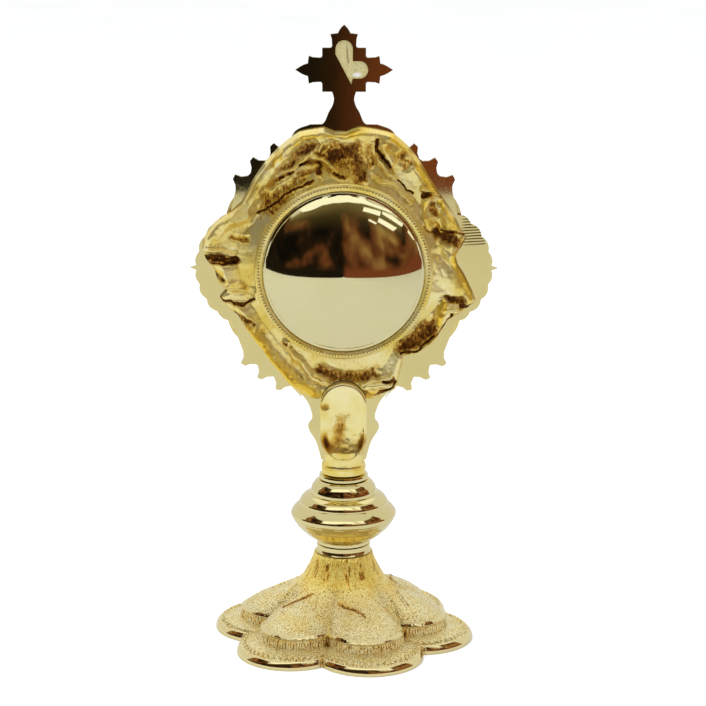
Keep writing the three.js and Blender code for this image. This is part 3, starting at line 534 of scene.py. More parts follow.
def turned_faces(start, faces, steps=8):
    """Points from start on, down a profile whose faces are given by length and looking angle."""
    points = [start]
    for length, first, last in faces:
        for share in (np.arange(steps) + 0.5) / steps:
            look = math.radians(first + (last - first) * share)
            r, z = points[-1]
            r, z = r + length / steps * math.sin(look), z - length / steps * math.cos(look)
            points.append((r, z))
    return points


mirror = polished_gilding("polished_gilding", STEM_GOLD, 0.006, 0.03)
collar_z = corners_of("foot_collar")[0][2]
collar_top = collar_z + COLLAR_HEIGHT
collar = [(ROD_HOLE, collar_top), (9.2, collar_top)]
collar += turned_faces((9.35, collar_z + 2.8), [(1.35, -4, 2), (1.35, 7, 40), (0.2, -10, -50)])
collar += [(9.4, collar_z), (ROD_HOLE, collar_z)]
collar_rows = ring_rows(collar, 160)
fit(skin("turned_collar", collar_rows, closed=True), mirror, "gilt_polished", "foot_collar")

knop_z = corners_of("knop")[0][2]
knop_top = knop_z + KNOP_HEIGHT
fork_low, fork_high = corners_of("head_fork")
ridged = turned_faces((8.7, knop_top), KNOP_FACES)
bowl_foot, bowl_top = (9.5, knop_z + 1.05), ridged[-1]
bowl = [bowl_foot]
for share in np.linspace(0.03, 1, 48):
    beaded = 0.16 * float(swell(share - 0.34, 0.07)) + 0.12 * float(swell(share - 0.62, 0.07))
    full = BOWL_SWELL * math.sin(math.pi * share) ** 0.8
    bowl.append((bowl_foot[0] + (bowl_top[0] - bowl_foot[0]) * share + full + beaded,
                 bowl_foot[1] + (bowl_top[1] - bowl_foot[1]) * share))
knop = [(ROD_HOLE, knop_z), (9.3, knop_z), (9.4, knop_z + 0.1), (9.4, knop_z + 1), *bowl[:-1]]
knop += [*reversed(ridged), (KNOP_BORE, knop_top)]
knop += [(KNOP_BORE, fork_low[2] - CLEARANCE), (ROD_HOLE, fork_low[2] - CLEARANCE)]
knop_rows = ring_rows(knop, 220)
fit(skin("turned_knop", knop_rows, closed=True, crease=35), mirror, "gilt_polished", "knop")

ring_z = corners_of("neck_ring")[0][2]
neck_ring = [(KNOP_BORE, ring_z), (8.2, ring_z)]
neck_ring += rounded((8.5, ring_z + 0.12), (8.4, ring_z + 1.55), 0.12, 14)
neck_ring += [(7.6, ring_z + RING_HEIGHT), (KNOP_BORE, ring_z + RING_HEIGHT)]
neck_rows = ring_rows(neck_ring, 140)
fit(skin("turned_neck_ring", neck_rows, closed=True), mirror, "gilt_polished", "neck_ring")

# Fork: one casting with a round base, a shank in the knop, a thumb-shaped tongue behind the tail of
# the plate and a veined leaf in front of it. The hollow in the tongue is left rough and stained.
BACK_OF_TONGUE = -1.3
TONGUE_HALF = 8
TONGUE_HEIGHT = 27.6
HOLLOW_DEPTH = 2.5
BASE_HEIGHT = 4.3
LEAF_HALF = 7
LEAF_HEIGHT = 19.5
LEAF_FACE = 4.5
VEIN_PITCH = 3.4


def cast_gilding(name, metallic, rough_low, rough_high, specks=0.22):
    """Soft gilding over a rough casting, brown and dull where its tarnish value is 1, from real tarnish
    and from painted shade; polished, and painted a deep yellow highlight, where it is -1.
    """
    material, tree, shader, place = finish_of(name, metallic)
    wear_and_shading = painted(tree, "tarnish_and_shading")
    speck = clouds(tree, stretched(tree, place, Scale=(1, 1, 0.4)), 1400, 6, 0.6)
    patch = clouds(tree, place, 95, 4)
    spread = reckon(tree, "ADD", between(tree, speck, 0.35, 0.65, -specks, specks), wear_and_shading)
    spread = reckon(tree, "ADD", between(tree, patch, 0.35, 0.65, -0.08, 0.08), spread)
    stain_and_shade = shades(tree, spread, (0.15, (1.0, 1.0, 1.0)), (0.38, (0.85, 0.70, 0.38)),
                   (0.62, (0.50, 0.29, 0.09)), (0.85, (0.23, 0.105, 0.025)), (1, (0.11, 0.045, 0.012)))
    gilt = shades(tree, patch, (0.36, (0.99, 0.89, 0.46)), (0.50, (0.95, 0.81, 0.32)),
                  (0.64, (0.88, 0.68, 0.15)))
    # Painted highlight: where the value falls below -0.1 the gilding turns a deep yellow.
    gilt = blend(tree, between(tree, spread, -0.1, -0.6, 0, 1), gilt, (0.95, 0.66, 0.07, 1))
    tint = blend(tree, 1.0, gilt, stain_and_shade, "MULTIPLY")
    rough = between(tree, wear_and_shading, 0, 1, rough_low, rough_high)
    rough = reckon(tree, "ADD", rough, between(tree, patch, 0.3, 0.7, -0.04, 0.06))
    pits = dents(tree, between(tree, wear_and_shading, 0, 1, 0.12, 0.6), 0.0002, speck)
    feed(tree, shader, Base_Color=tint, Roughness=rough, Normal=pits)
    return material


def thumb_outline(half, bottom, height, count=180):
    """Outline of a tongue, round at both ends, as evenly spaced [x, z] points."""
    turn = np.linspace(0, math.pi, 60)
    top = np.stack([half * np.cos(turn), bottom + height - half + half * np.sin(turn)], -1)
    low = np.stack([-half * np.cos(turn), bottom + 1.1 * half - 1.1 * half * np.sin(turn)], -1)
    path = np.concatenate([top, low, top[:1]])
    gone = np.concatenate([[0], np.cumsum(np.hypot(*np.diff(path, axis=0).T))])
    even = np.linspace(0, gone[-1], count, endpoint=False)
    return np.stack([np.interp(even, gone, path[:, 0]), np.interp(even, gone, path[:, 1])], -1)


def standing(x, depth, z):
    """Points that stand upright, at one depth from front to back or at one each."""
    return np.stack([x, depth * np.ones(np.shape(x)), z], -1)


def cap(outline, depth):
    """A row of points drawn together in the middle of an outline."""
    middle = outline.mean(0)
    return np.tile([middle[0], depth, middle[1]], (len(outline), 1))


def flat(x, z):
    """The same points laid flat, for their grain to be looked up."""
    return np.stack([x, z, 0 * x], -1)


def boss(name, outline, base, face, round_off, relief, rings=46):
    """A raised boss of the given outline, from y = base out to face, with its edge rounded off.
    relief takes x and z and gives how far the face sinks there, and how tarnished it is."""
    middle = outline.mean(0)
    side = 1 if face > base else -1
    rows, wear_and_shading = [], []
    for share in np.linspace(0, 1, rings) ** 0.8:
        at = middle + (outline - middle) * share
        short = np.hypot(*((outline - at).T))
        over = np.clip(round_off - short, 0, round_off)
        drop = round_off - np.sqrt(np.maximum(round_off**2 - over**2, 0))
        sunk, stain_and_shade = relief(at[:, 0], at[:, 1])
        rows.append(standing(at[:, 0], face - side * (drop + sunk), at[:, 1]))
        wear_and_shading.append(stain_and_shade)
    for share in (0.6, 1):
        depth = (face - side * round_off) * (1 - share) + base * share
        rows.append(standing(outline[:, 0], depth, outline[:, 1]))
        wear_and_shading.append(np.zeros(len(outline)))
    rows.append(cap(outline, base))
    wear_and_shading.append(np.zeros(len(outline)))
    return skin(name, rows, crease=60, tarnish_and_shading=np.array(wear_and_shading))


def joined(name, parts):
    """One mesh from several that make up one casting."""
    with bpy.context.temp_override(active_object=parts[0], selected_editable_objects=parts):
        bpy.ops.object.join()
    parts[0].name = name
    parts[0].data.name = name
    return parts[0]


fork_z = ring_z + RING_HEIGHT + CLEARANCE
tongue_bottom = fork_high[2] - TONGUE_HEIGHT
tongue_face = fork_low[1]
base = [(0, fork_low[2] + 11.1), (0.1, fork_low[2] + 11.1), (ROD_HOLE, fork_low[2] + 10.3)]
base += [(ROD_HOLE, fork_low[2]), (5.2, fork_low[2]), (5.2, fork_z), (7.4, fork_z)]
base += [(7.7, fork_z + 0.25), (7.7, fork_z + 2.2)]
base += [(7.5, fork_z + 2.35), (7.5, fork_z + 2.55)]
base += [*rounded((7.7, fork_z + 2.7), (6.6, fork_z + BASE_HEIGHT), 0.3, 12), (0, fork_z + BASE_HEIGHT)]
fork_base = skin("fork_base", ring_rows(base, 140), tarnish_and_shading=np.zeros((len(base), 140)))


def thumb_hollow(x, z):
    """The hollow in the tongue: soft at its top, crisp at its lower edge, stained in its middle."""
    across, up = x / 7.1, (z - tongue_bottom - 10.0) / 9.4
    inside = np.clip(1 - np.abs(across) ** 2.3 - np.abs(up) ** 2.3, 0, 1)
    edge = np.interp(up - 0.25 * across, [-1, -0.2, 0.3, 1], [0.28, 0.5, 1.5, 2.4])
    points = flat(x, z)
    rough = grain(points, 1.2) * 0.08 + grain(points, 3.4, 3) * 0.2
    rise = z - tongue_bottom
    middle = swell(np.hypot((x + 1.2 - 0.1 * (rise - 12)) / 0.8, (rise - 11.5) / 1.9), 4.4)
    spot = swell(np.hypot((x + 6.3) / 1.5, z - tongue_bottom - 19.4), 1.5)
    # The lower sides of the hollow are darkened.
    rim_dark = swell(inside - 0.2, 0.42) * swell(up + 0.4, 0.6)
    rim_dark = rim_dark * np.clip(2.2 * np.abs(across) - 0.7, 0, 1)
    low = swell(up + 0.5, 0.4) * np.clip(4 * inside - 1, 0, 1)
    stain_and_shade = 0.75 * middle * (1 + rough) + 0.55 * np.sqrt(spot) + 0.95 * rim_dark + 0.35 * low
    sunk = HOLLOW_DEPTH * inside**edge + rough * np.clip(inside * 3, 0, 1) + 0.2 * spot
    return sunk, np.clip(stain_and_shade, 0, 1)


tongue_line = thumb_outline(TONGUE_HALF, tongue_bottom, TONGUE_HEIGHT)
tongue = boss("tongue", tongue_line, BACK_OF_TONGUE, tongue_face, 0.9, thumb_hollow, 60)


def leaf_veins(x, z):
    """The leaf's midrib and its slanting veins, raised from a face that sinks between them."""
    slanting = ((z - fork_high[2]) * 0.9 + np.abs(x) * 1.3) % VEIN_PITCH - VEIN_PITCH / 2
    vein = np.minimum(np.abs(x), np.abs(slanting))
    return 0.45 * (1 - swell(vein, 0.8)), 0.35 * (1 - swell(vein, 0.9))


leaf_line = thumb_outline(LEAF_HALF, fork_z + 3.8, LEAF_HEIGHT)
leaf = boss("leaf", leaf_line, -BACK_OF_TONGUE, LEAF_FACE, 1.4, leaf_veins, 50)
# Rows of the swelling under the tongue: height, half width, and how far back and front it reaches.
ROOT_ROWS = [
    (-0.6, 6.6, -7.0, -1.3), (1.0, 6.5, -7.3, -1.3), (2.6, 6.6, -7.6, -1.3), (4.2, 6.2, -7.5, -1.4),
]
root_rows = []
for height, wide, near, far in ROOT_ROWS:
    turn = full_turn(64)
    corner = [np.abs(side) ** 0.75 * np.sign(side) for side in (np.cos(turn), np.sin(turn))]
    middle, deep = (near + far) / 2, (far - near) / 2
    root_rows.append(standing(wide * corner[0], middle + deep * corner[1],
                              np.full(64, fork_z + BASE_HEIGHT + height)))
root_rows = [root_rows[0] * [0, 1, 1], *root_rows, root_rows[-1] * [0, 1, 1]]
root = skin("root", root_rows, tarnish_and_shading=np.zeros((len(root_rows), 64)))
head_fork = joined("cast_fork", [fork_base, tongue, leaf, root])
fit(head_fork, cast_gilding("fork_gilding", 0.85, 0.17, 0.5, 0.12), "gilt_cast", "head_fork")

# Sunburst plate: one flat piece of brass sawn to shape, polished and gilded, with a cross on top,
# four groups of rays, a scalloped shell on each side and a tail that stands in the fork.
barrel_low, barrel_high = corners_of("case_barrel")
head_z = (barrel_low[2] + barrel_high[2]) / 2
HOLE = 26.3
PLATE_FACE = 1.0
CROSS_RISE = 67.2


def polar(radius, degrees):
    """A point [x, z] at a distance and an angle from the middle of the head."""
    return [radius * math.cos(math.radians(degrees)), radius * math.sin(math.radians(degrees))]


def curve_through(points, count=6):
    """A smooth line through points, with count steps between two of them."""
    points = np.array(points, float)
    padded = np.concatenate([2 * points[:1] - points[1:2], points, 2 * points[-1:] - points[-2:-1]])
    line = []
    for a, b, c, d in zip(padded, padded[1:], padded[2:], padded[3:]):
        bend, twist = 2 * a - 5 * b + 4 * c - d, 3 * b - a - 3 * c + d
        for t in np.linspace(0, 1, count, endpoint=False):
            line.append(0.5 * (2 * b + (c - a) * t + bend * t**2 + twist * t**3))
    return [list(p) for p in line] + [list(points[-1])]


def cross_half():
    """Right half of the cross, from its top point down to its foot on the sun."""
    point = [[1.05, 13.9], [1.6, 13.1], [2.1, 12.1]]
    quarter = [[4.6, 11.8], [4.15, 10.4], [4.0, 7.9], [4.3, 7.4], [4.9, 7.3], [7.3, 7.3]]
    side_point = [[12.1, 2.1], [13.3, 1.75], [14.5, 1.15], [15.5, 0.5]]
    across = [[z, x] for x, z in reversed(quarter)] + side_point
    below = [[x, -z] for x, z in reversed(across)]
    waist = [[4.0, -7.3], [3.4, -9.6], [3.9, -12], [5.2, -14.3], [6.4, -17.2], [7.4, -18.2]]
    half = [[0, 14.9], *point, *quarter, *across[1:], [16.3, 0], *below, *curve_through(waist, 5)]
    return [[x, z + CROSS_RISE] for x, z in half]


def rays(angles, side):
    """The saw-toothed rays at the given angles, side being 1 above the shell and -1 below it."""
    points = []
    for angle in angles:
        middle = side * angle
        points += [polar(45.2, middle + 4.2), polar(46.6, middle + 2.0), polar(48.7, middle + 1.0)]
        points += [polar(48.3, middle - 1.0), polar(46.4, middle - 2.2), polar(45.2, middle - 4.2)]
    return points


def shell_edge():
    """The scalloped edge of the right shell, with a small point in the middle of it."""
    points = []
    for i in range(65):
        bulge = 0.8 * abs(math.sin(i * math.pi / 8))
        x, z = polar(20.4 + bulge, 64 * (1 - i / 32))
        points.append([52.4, 0] if i == 32 else [29.6 + x, z])
    return points


def tail_half():
    down = curve_through([[18, -41.5], [15.3, -43.6], [12.4, -47.2], [10.9, -51.3]], 5)
    low = [[10.9, -53.4], [12.3, -55.4], [11.6, -57.8], [9.5, -61.4], [7.7, -67.8]]
    return down + curve_through(low, 5)


plate_half = [*cross_half(), *curve_through([polar(50.2, 77), polar(49.6, 71), polar(46.4, 66)], 5)]
plate_half += [*rays([60, 50, 40], 1), *shell_edge(), *rays([44.3, 53.2, 62], -1)]
plate_half += [polar(45.8, -68), polar(47.8, -72.5), *tail_half()]
plate_outline = plate_half + [[-x, z] for x, z in reversed(plate_half) if x > 0]
plate_curve = bpy.data.curves.new("plate_outline", "CURVE")
plate_curve.dimensions = "2D"
plate_curve.fill_mode = "BOTH"
plate_curve.extrude = PLATE_FACE * MM
hole_line = [[HOLE * math.sin(a), HOLE * math.cos(a)] for a in full_turn(160)]
for line in (plate_outline, hole_line):
    spline = plate_curve.splines.new("POLY")
    spline.points.add(len(line) - 1)
    spline.use_cyclic_u = True
    for point, (x, z) in zip(spline.points, line):
        point.co = (x * MM, (z + head_z) * MM, 0, 1)


def settled(made):
    """The mesh that an object comes to, once its curve is filled or its cut is worked out."""
    graph = bpy.context.evaluated_depsgraph_get()
    return bpy.data.meshes.new_from_object(made.evaluated_get(graph))


blank = placed("plate_blank", plate_curve)
plate_mesh = settled(blank)
bpy.data.objects.remove(blank)
upright = bmesh.new()
upright.from_mesh(plate_mesh)
bmesh.ops.remove_doubles(upright, verts=upright.verts, dist=1e-7)
for vertex in upright.verts:
    vertex.co = (vertex.co.x, -vertex.co.z, vertex.co.y)
bmesh.ops.recalc_face_normals(upright, faces=upright.faces)
upright.to_mesh(plate_mesh)
upright.free()
plate = placed("sawn_sunburst", plate_mesh)


def cut(made, tool):
    """Cuts tool out of a piece and removes it."""
    step = made.modifiers.new("cut", "BOOLEAN")
    step.operation = "DIFFERENCE"
    step.solver = "EXACT"
    step.object = tool
    mesh = settled(made)
    made.modifiers.clear()
    made.data = mesh
    bpy.data.objects.remove(tool)


def recess_tool():
    """The shallow recess in the back of the cross: an upper and a right arm with round ends, and
    a slanting edge across the corner between the other two."""
    half, high, side = 2.9, 9.8, 8.0
    turn = np.linspace(0, math.pi, 20)
    outline = [(half * math.cos(a), high - half + half * math.sin(a)) for a in turn]
    outline += [(-half, 5.2), (2.4, -4.8), (half, -half)]
    outline += [(side - half + half * math.sin(a), -half * math.cos(a)) for a in turn]
    outline = np.array(outline + [(half, half)])
    outline[:, 1] += head_z + CROSS_RISE
    blank = skin("recess", [standing(outline[:, 0], y, outline[:, 1]) for y in (-3, -0.5)])
    closer = bmesh.new()
    closer.from_mesh(blank.data)
    bmesh.ops.holes_fill(closer, edges=closer.edges, sides=0)
    bmesh.ops.recalc_face_normals(closer, faces=closer.faces)
    closer.to_mesh(blank.data)
    closer.free()
    return blank


cut(plate, recess_tool())
plate.data.shade_flat()


def plate_gilding():
    """Polished faces. The floor of the recess keeps its matt gilding, with a few scratches, and a
    fan of fine dark matt lines is drawn in the upper part of the right shell's back."""
    material, tree, shader, place = finish_of("plate_gilding", 1)
    cloud = clouds(tree, place, 60, 3)
    wipes = clouds(tree, place, 1200, 6)
    parts = add(tree, "SeparateXYZ", {"Vector": place})
    x, y, z = (parts.outputs[axis] for axis in "XYZ")

    def times(first, *others):
        for other in others:
            first = reckon(tree, "MULTIPLY", first, other)
        return first

    deep = between(tree, y, -0.0008, -0.0006, 0, 1)
    back = between(tree, y, -0.0002, -0.0004, 0, 1)
    high = between(tree, z, (head_z + 56) * MM, (head_z + 56.5) * MM, 0, 1)
    sunk = times(deep, back, high)
    slant = stretched(tree, place, Rotation=(0, 0.7, 0), Scale=(1, 1, 0.16))
    scratch = clouds(tree, slant, 620, 3)
    mottle = clouds(tree, place, 1500, 6)
    matt_gilt = shades(tree, mottle, (0.35, (0.70, 0.62, 0.28)), (0.6, (0.80, 0.73, 0.40)))
    marked = between(tree, scratch, 0.60, 0.68, 0, 0.75)
    floor_tint = blend(tree, marked, matt_gilt, (0.30, 0.20, 0.07, 1))
    worn_at = (0.0043, -0.0005, (head_z + CROSS_RISE - 1.7) * MM)
    off_spot = stretched(tree, place, Location=[-v for v in worn_at])
    off_spot = stretched(tree, off_spot, Scale=(0.55, 0, 1))
    off_spot = add(tree, "VectorMath", {0: off_spot}, operation="LENGTH").outputs["Value"]
    bare = between(tree, off_spot, 0.0005, 0.0010, 1, 0)
    floor_tint = blend(tree, bare, floor_tint, (1.0, 1.0, 0.97, 1))
    right = times(between(tree, x, 0.0398, 0.0412, 0, 1), between(tree, x, 0.0475, 0.0483, 1, 0))
    upper = times(between(tree, z, (head_z + 7.6) * MM, (head_z + 8.6) * MM, 0, 1),
                  between(tree, z, (head_z + 17.4) * MM, (head_z + 18.4) * MM, 1, 0))
    fan = stretched(tree, place, Rotation=(0, 0.26, 0), Scale=(0.25, 1, 1))
    lines = add(tree, "TexWave", {"Vector": fan, "Scale": 330, "Distortion": 0.6},
                bands_direction="Z").outputs["Fac"]
    dark_fan = times(right, upper, between(tree, lines, 0.6, 0.8, 0, 1),
                     between(tree, y, -0.0009, -0.00095, 0, 1))
    polished = shades(tree, cloud, (0.3, (0.77, 0.67, 0.32)), (0.75, (0.74, 0.62, 0.26)))
    tint = blend(tree, dark_fan, polished, (0.13, 0.06, 0.015, 1))
    tint = blend(tree, sunk, tint, floor_tint)
    matt = reckon(tree, "MAXIMUM", sunk, dark_fan)
    smooth = between(tree, wipes, 0.35, 0.75, 0.03, 0.055)
    rough = add(tree, "Mix", {0: matt, 2: smooth, 3: 0.6}, data_type="FLOAT").outputs[0]
    metal = add(tree, "Mix", {0: sunk, 2: 1.0, 3: 0.25}, data_type="FLOAT").outputs[0]
    swim = dents(tree, 0.03, 0.0006, cloud)
    feed(tree, shader, Base_Color=tint, Roughness=rough, Metallic=metal, Normal=swim)
    return material


fit(plate, plate_gilding(), "gilt_polished", "sunburst_plate")

# Back casting: an irregular cast frame of scrolls and leaves, seen from its rough side. Rounded
# rims stand round pitted hollows, with painted shade in its recesses and painted highlights on its
# ridges; narrow cuts painted near black stand for the slits that show the plate behind. The rear
# bead ring clamps it.
BACK_OUTLINE = [
    (-180, 44), (-174, 43), (-170, 40.5), (-167, 43.5), (-162, 42), (-156, 39.6), (-147, 39.2),
    (-135, 39.5), (-121, 42.3), (-109, 46.4), (-103, 46.6), (-90, 45.2), (-78, 46.4), (-72, 46),
    (-67, 45.6), (-62, 41), (-56, 36.6), (-48, 38.8), (-40, 39.8), (-33, 39.6), (-26, 39.8), (-18, 44),
    (-13.6, 46.4), (-8, 43.4), (2, 38.8), (7, 38.2), (14.5, 42.8), (20, 41.8), (31, 41.4), (38, 41.2),
    (47, 42.4), (56, 45), (63, 47.2), (70, 49), (84, 48.6), (89, 46.6), (94, 46.8), (98, 48.6),
    (108, 49), (120, 46.4), (130, 44.2), (140, 42.2), (147, 41.4), (153, 42.8), (160, 46.6),
    (167, 48.6), (172, 48.6), (176, 47), (180, 44),
]
# Raised and sunk lines on the casting: (x, z) from the middle of the head, half width, height or
# depth, and tarnish: brown in a hollow; on a ridge, below 0 where it is polished and painted deep
# yellow as a highlight.
RIDGES = [
    ([(-5.7, 47.1), (-12.8, 46.7), (-19.1, 43.7), (-24.1, 38.1), (-28, 31.4), (-31.2, 25),
      (-34.1, 19.8)], 4.2, 2.0, 0),
    ([(-34.1, 19.8), (-40.8, 16.7), (-46.3, 12.3)], 3.0, 1.7, 0),
    ([(-6.1, 46.9), (-2.8, 45.9), (1.4, 45.4), (5.5, 46.9), (12.2, 47.7), (15.5, 46.7)], 2.6, 1.6, 0),
    ([(16.7, 45.2), (22.3, 39.6), (26.5, 33.5), (31, 26.5)], 1.4, 2.3, -0.6),
    ([(19, 46), (24.2, 41), (29.6, 34), (33, 27.4)], 1.4, 1.2, 0),
    ([(-22.6, 31.6), (-17.5, 35.2), (-12.2, 38.6)], 0.7, 1.3, 0),
    ([(-17.6, 34), (-13.5, 35.2), (-9.2, 35.4)], 1.0, 1.0, 0),
    ([(-25, 27.6), (-20.5, 29.6), (-16.6, 32.3)], 1.1, 1.0, 0),
    ([(-10.9, 39.5), (-6.5, 37), (-2.1, 34.4)], 1.0, 1.9, 0),
    ([(-8, 40.6), (-7.6, 42.8), (-5.8, 43), (-5.2, 41), (-6.6, 39.6)], 0.7, 1.7, 0),
    ([(13.6, 41), (15.8, 37.8)], 1.4, 2.2, 0),
    ([(11.7, 37.1), (14.6, 34.4), (17.4, 31.6)], 0.9, 1.6, 0),
    ([(9.3, 32), (15.5, 29.2), (21.8, 24)], 0.8, 1.3, 0),
    ([(26, 27.4), (28.4, 26.8), (30.8, 25.9)], 0.9, 2.4, 0),
    ([(27.4, 23.6), (27.5, 18.5), (30.2, 14.6)], 1.3, 1.3, -0.5),
    ([(33.4, 24.5), (35, 19.9), (35, 15)], 1.5, 1.7, 0),
    ([(36.4, 18), (39, 16), (42.5, 14.4)], 1.6, 1.4, 0),
    ([(33.8, 8.4), (36.6, 5.0), (39.4, 4.6), (41.4, -1.4), (44, -6)], 2.2, 1.4, 0),
    ([(30.5, 3), (34, -2), (38, -6)], 2.6, 0.9, 0),
    ([(35.6, -13.4), (39.4, -13.6)], 1.1, 2.2, 0),
    ([(33.5, -11.4), (33.2, -15), (32.4, -18.6)], 1.4, 1.3, -0.8),
    ([(37.6, -15.6), (35, -20.5), (28, -28.4), (21.5, -31)], 1.1, 1.7, 0),
    ([(-19.8, -25), (-15.8, -31), (-11.5, -35.8), (-6, -39.1)], 1.4, 1.8, 0),
    ([(-33, -20.7), (-28.2, -27.3), (-22.6, -34.6), (-18, -39), (-10.5, -42.6)], 2.3, 2.3, -0.9),
    ([(6.6, -39.6), (11.2, -37.9), (16.5, -37)], 0.8, 1.3, 0),
    ([(7.5, -41.2), (11.5, -40.4), (15, -39.6)], 1.3, 0.9, 0),
    ([(5, -43.6), (11.5, -45), (18, -41.6)], 0.9, 1.5, 0),
    ([(-47.4, 6.4), (-42.5, 6.2), (-37, 5.2)], 0.8, 1.7, 0),
    ([(-43, -6.6), (-37.4, -5.8), (-30.4, -7.2)], 1.1, 1.4, 0),
    ([(-41, -9.6), (-36.8, -9.2), (-32.5, -9.4)], 1.2, 0.6, 0),
    ([(-38, -16.6), (-35.6, -19.2)], 1.2, 1.0, 0),
]
HOLLOWS = [
    ([(-25, 22), (-20, 30), (-12, 36.5), (-3, 39), (6, 37)], 5.2, 0.6, 0.55),
    ([(-26.6, 25.6), (-23, 31.2), (-18.5, 36.8), (-14.6, 40.6)], 1.5, 1.2, 0.65),
    ([(-14.8, 40.6), (-10.8, 42.6)], 2.0, 1.6, 1.1),
    ([(-21, 30.6), (-16, 31.2), (-11.5, 32.6)], 1.2, 0.8, 0.5),
    ([(-25.6, 26.8), (-26, 22.5), (-24.8, 19)], 0.9, 0.8, 0.85),
    ([(-2.8, 39), (0.4, 40.6)], 2.5, 1.6, 1.1),
    ([(-8.4, 37), (-8, 32.4)], 1.0, 1.1, 0.9),
    ([(-3.3, 33), (-0.4, 32.2)], 0.9, 0.9, 0.8),
    ([(2.4, 42), (4.6, 37), (5.4, 31.6)], 2.5, 1.5, 0.85),
    ([(8.4, 41.5), (9.4, 36)], 1.5, 1.0, 0.5),
    ([(21.4, 35.6), (19, 38.8)], 1.4, 0.9, 0.5),
    ([(29.8, 22.6), (31.6, 18.6)], 1.0, 1.0, 0.75),
    ([(29.2, 15.6), (32.4, 11.4)], 1.8, 1.4, 0.95),
    ([(34.8, 11.6), (37.2, 10), (39.6, 8)], 2.4, 1.8, 1.1),
    ([(-46.9, 3.4), (-42.6, 3.6), (-37.2, 3)], 1.25, 2.4, 1.2),
    ([(-44, -1), (-42, -2.9)], 1.0, 1.8, 1.15),
    ([(-41, -9.4), (-36.9, -9.8), (-32, -9.8)], 1.9, 1.2, 0.2),
    ([(-36.8, -14.6), (-33.6, -17.6), (-31.2, -19.4)], 1.0, 1.6, 0.95),
    ([(34.6, -10), (38, -10.2), (41, -10.2)], 0.9, 1.4, 0.9),
    ([(30.4, -20), (26.4, -23.6), (21.6, -26.4)], 3.4, 1.8, 0.95),
    ([(-8, -35.2), (-2, -37.4), (5, -37.4), (11, -35.6)], 2.2, 1.0, 0.7),
    ([(-27.5, -22), (-20.5, -31.5), (-13.5, -38)], 1.4, 0.7, 0.05),
    ([(-38.4, 11.2), (-35.6, 10.4), (-32.6, 10.2)], 1.1, 0.6, 0.5),
]
# Narrow cuts, painted near black as the shade in them: (x, z), half width and depth.
CUTS = [
    ([(-28.4, 18.7), (-25, 22), (-20.3, 25.8), (-15, 28.4), (-10.2, 30)], 0.42, 0.8),
    ([(-22, 30.2), (-20.6, 31)], 0.5, 0.8),
    ([(-18.8, 32.8), (-16.8, 34)], 0.5, 0.8),
    ([(-15, 36), (-12, 37.4)], 0.5, 0.9),
    ([(10.6, 43.6), (11.4, 40), (15.4, 36.6)], 0.65, 1.3),
    ([(18.2, 30.6), (22.5, 27)], 0.4, 0.9),
    ([(26.4, 25.4), (29.4, 24.9), (32.2, 23.8)], 0.95, 1.6),
    ([(-49, 2.2), (-45, 1.8), (-40, 2), (-37.6, 2.4)], 0.45, 1.2),
    ([(-43.4, -8.8), (-40, -11.4), (-34, -12.1), (-30, -10.6)], 0.55, 1.2),
    ([(-35.2, -20.8), (-31, -27), (-26, -33.2), (-20, -39.6)], 0.5, 1.2),
    ([(-20.4, -24.8), (-19.8, -25)], 0.6, 0.9),
    ([(39.8, -11.6), (42.2, -12.2), (45.4, -11.4)], 0.9, 1.5),
    ([(36.2, -15.2), (32.9, -21.8), (25.4, -28), (20, -29)], 0.55, 1.3),
    ([(33.4, 13.8), (36.2, 13.2), (39.6, 11.4)], 0.5, 1.0),
    ([(6, -41.9), (10.8, -43.4), (16, -41.2), (18.2, -38.4)], 0.5, 1.2),
    ([(14.6, -38), (18, -38.4)], 0.8, 1.3),
]
CAST_SHARES = [0, 0.14, 0.32, 0.5, 0.66, 0.8, 0.9, 0.96, 1]
CAST_HEIGHTS = [6, 5.7, 4.3, 3.3, 3.7, 4.3, 3.9, 3.0, 1.6]
HOLLOW_SPREAD = 1.5
RIDGE_SPREAD = 1.35
CAST_CREASE = 70
RING_LEDGE = 6
CAST_FACE = -1.3
CAST_STEPS = 1440
CAST_ROWS = 96


def relief_grid(reach_of, steps, count):
    """x, z and shares of a grid over a ring round the head, from the case's hole to its reach."""
    turn = np.linspace(-math.pi, math.pi, steps, endpoint=False)
    shares = np.linspace(0, 1, count) ** 0.92
    far = reach_of(np.degrees(turn))
    radius = HOLE + (far[None] - HOLE) * shares[:, None]
    return radius * np.cos(turn), radius * np.sin(turn), shares[:, None] * np.ones(steps)


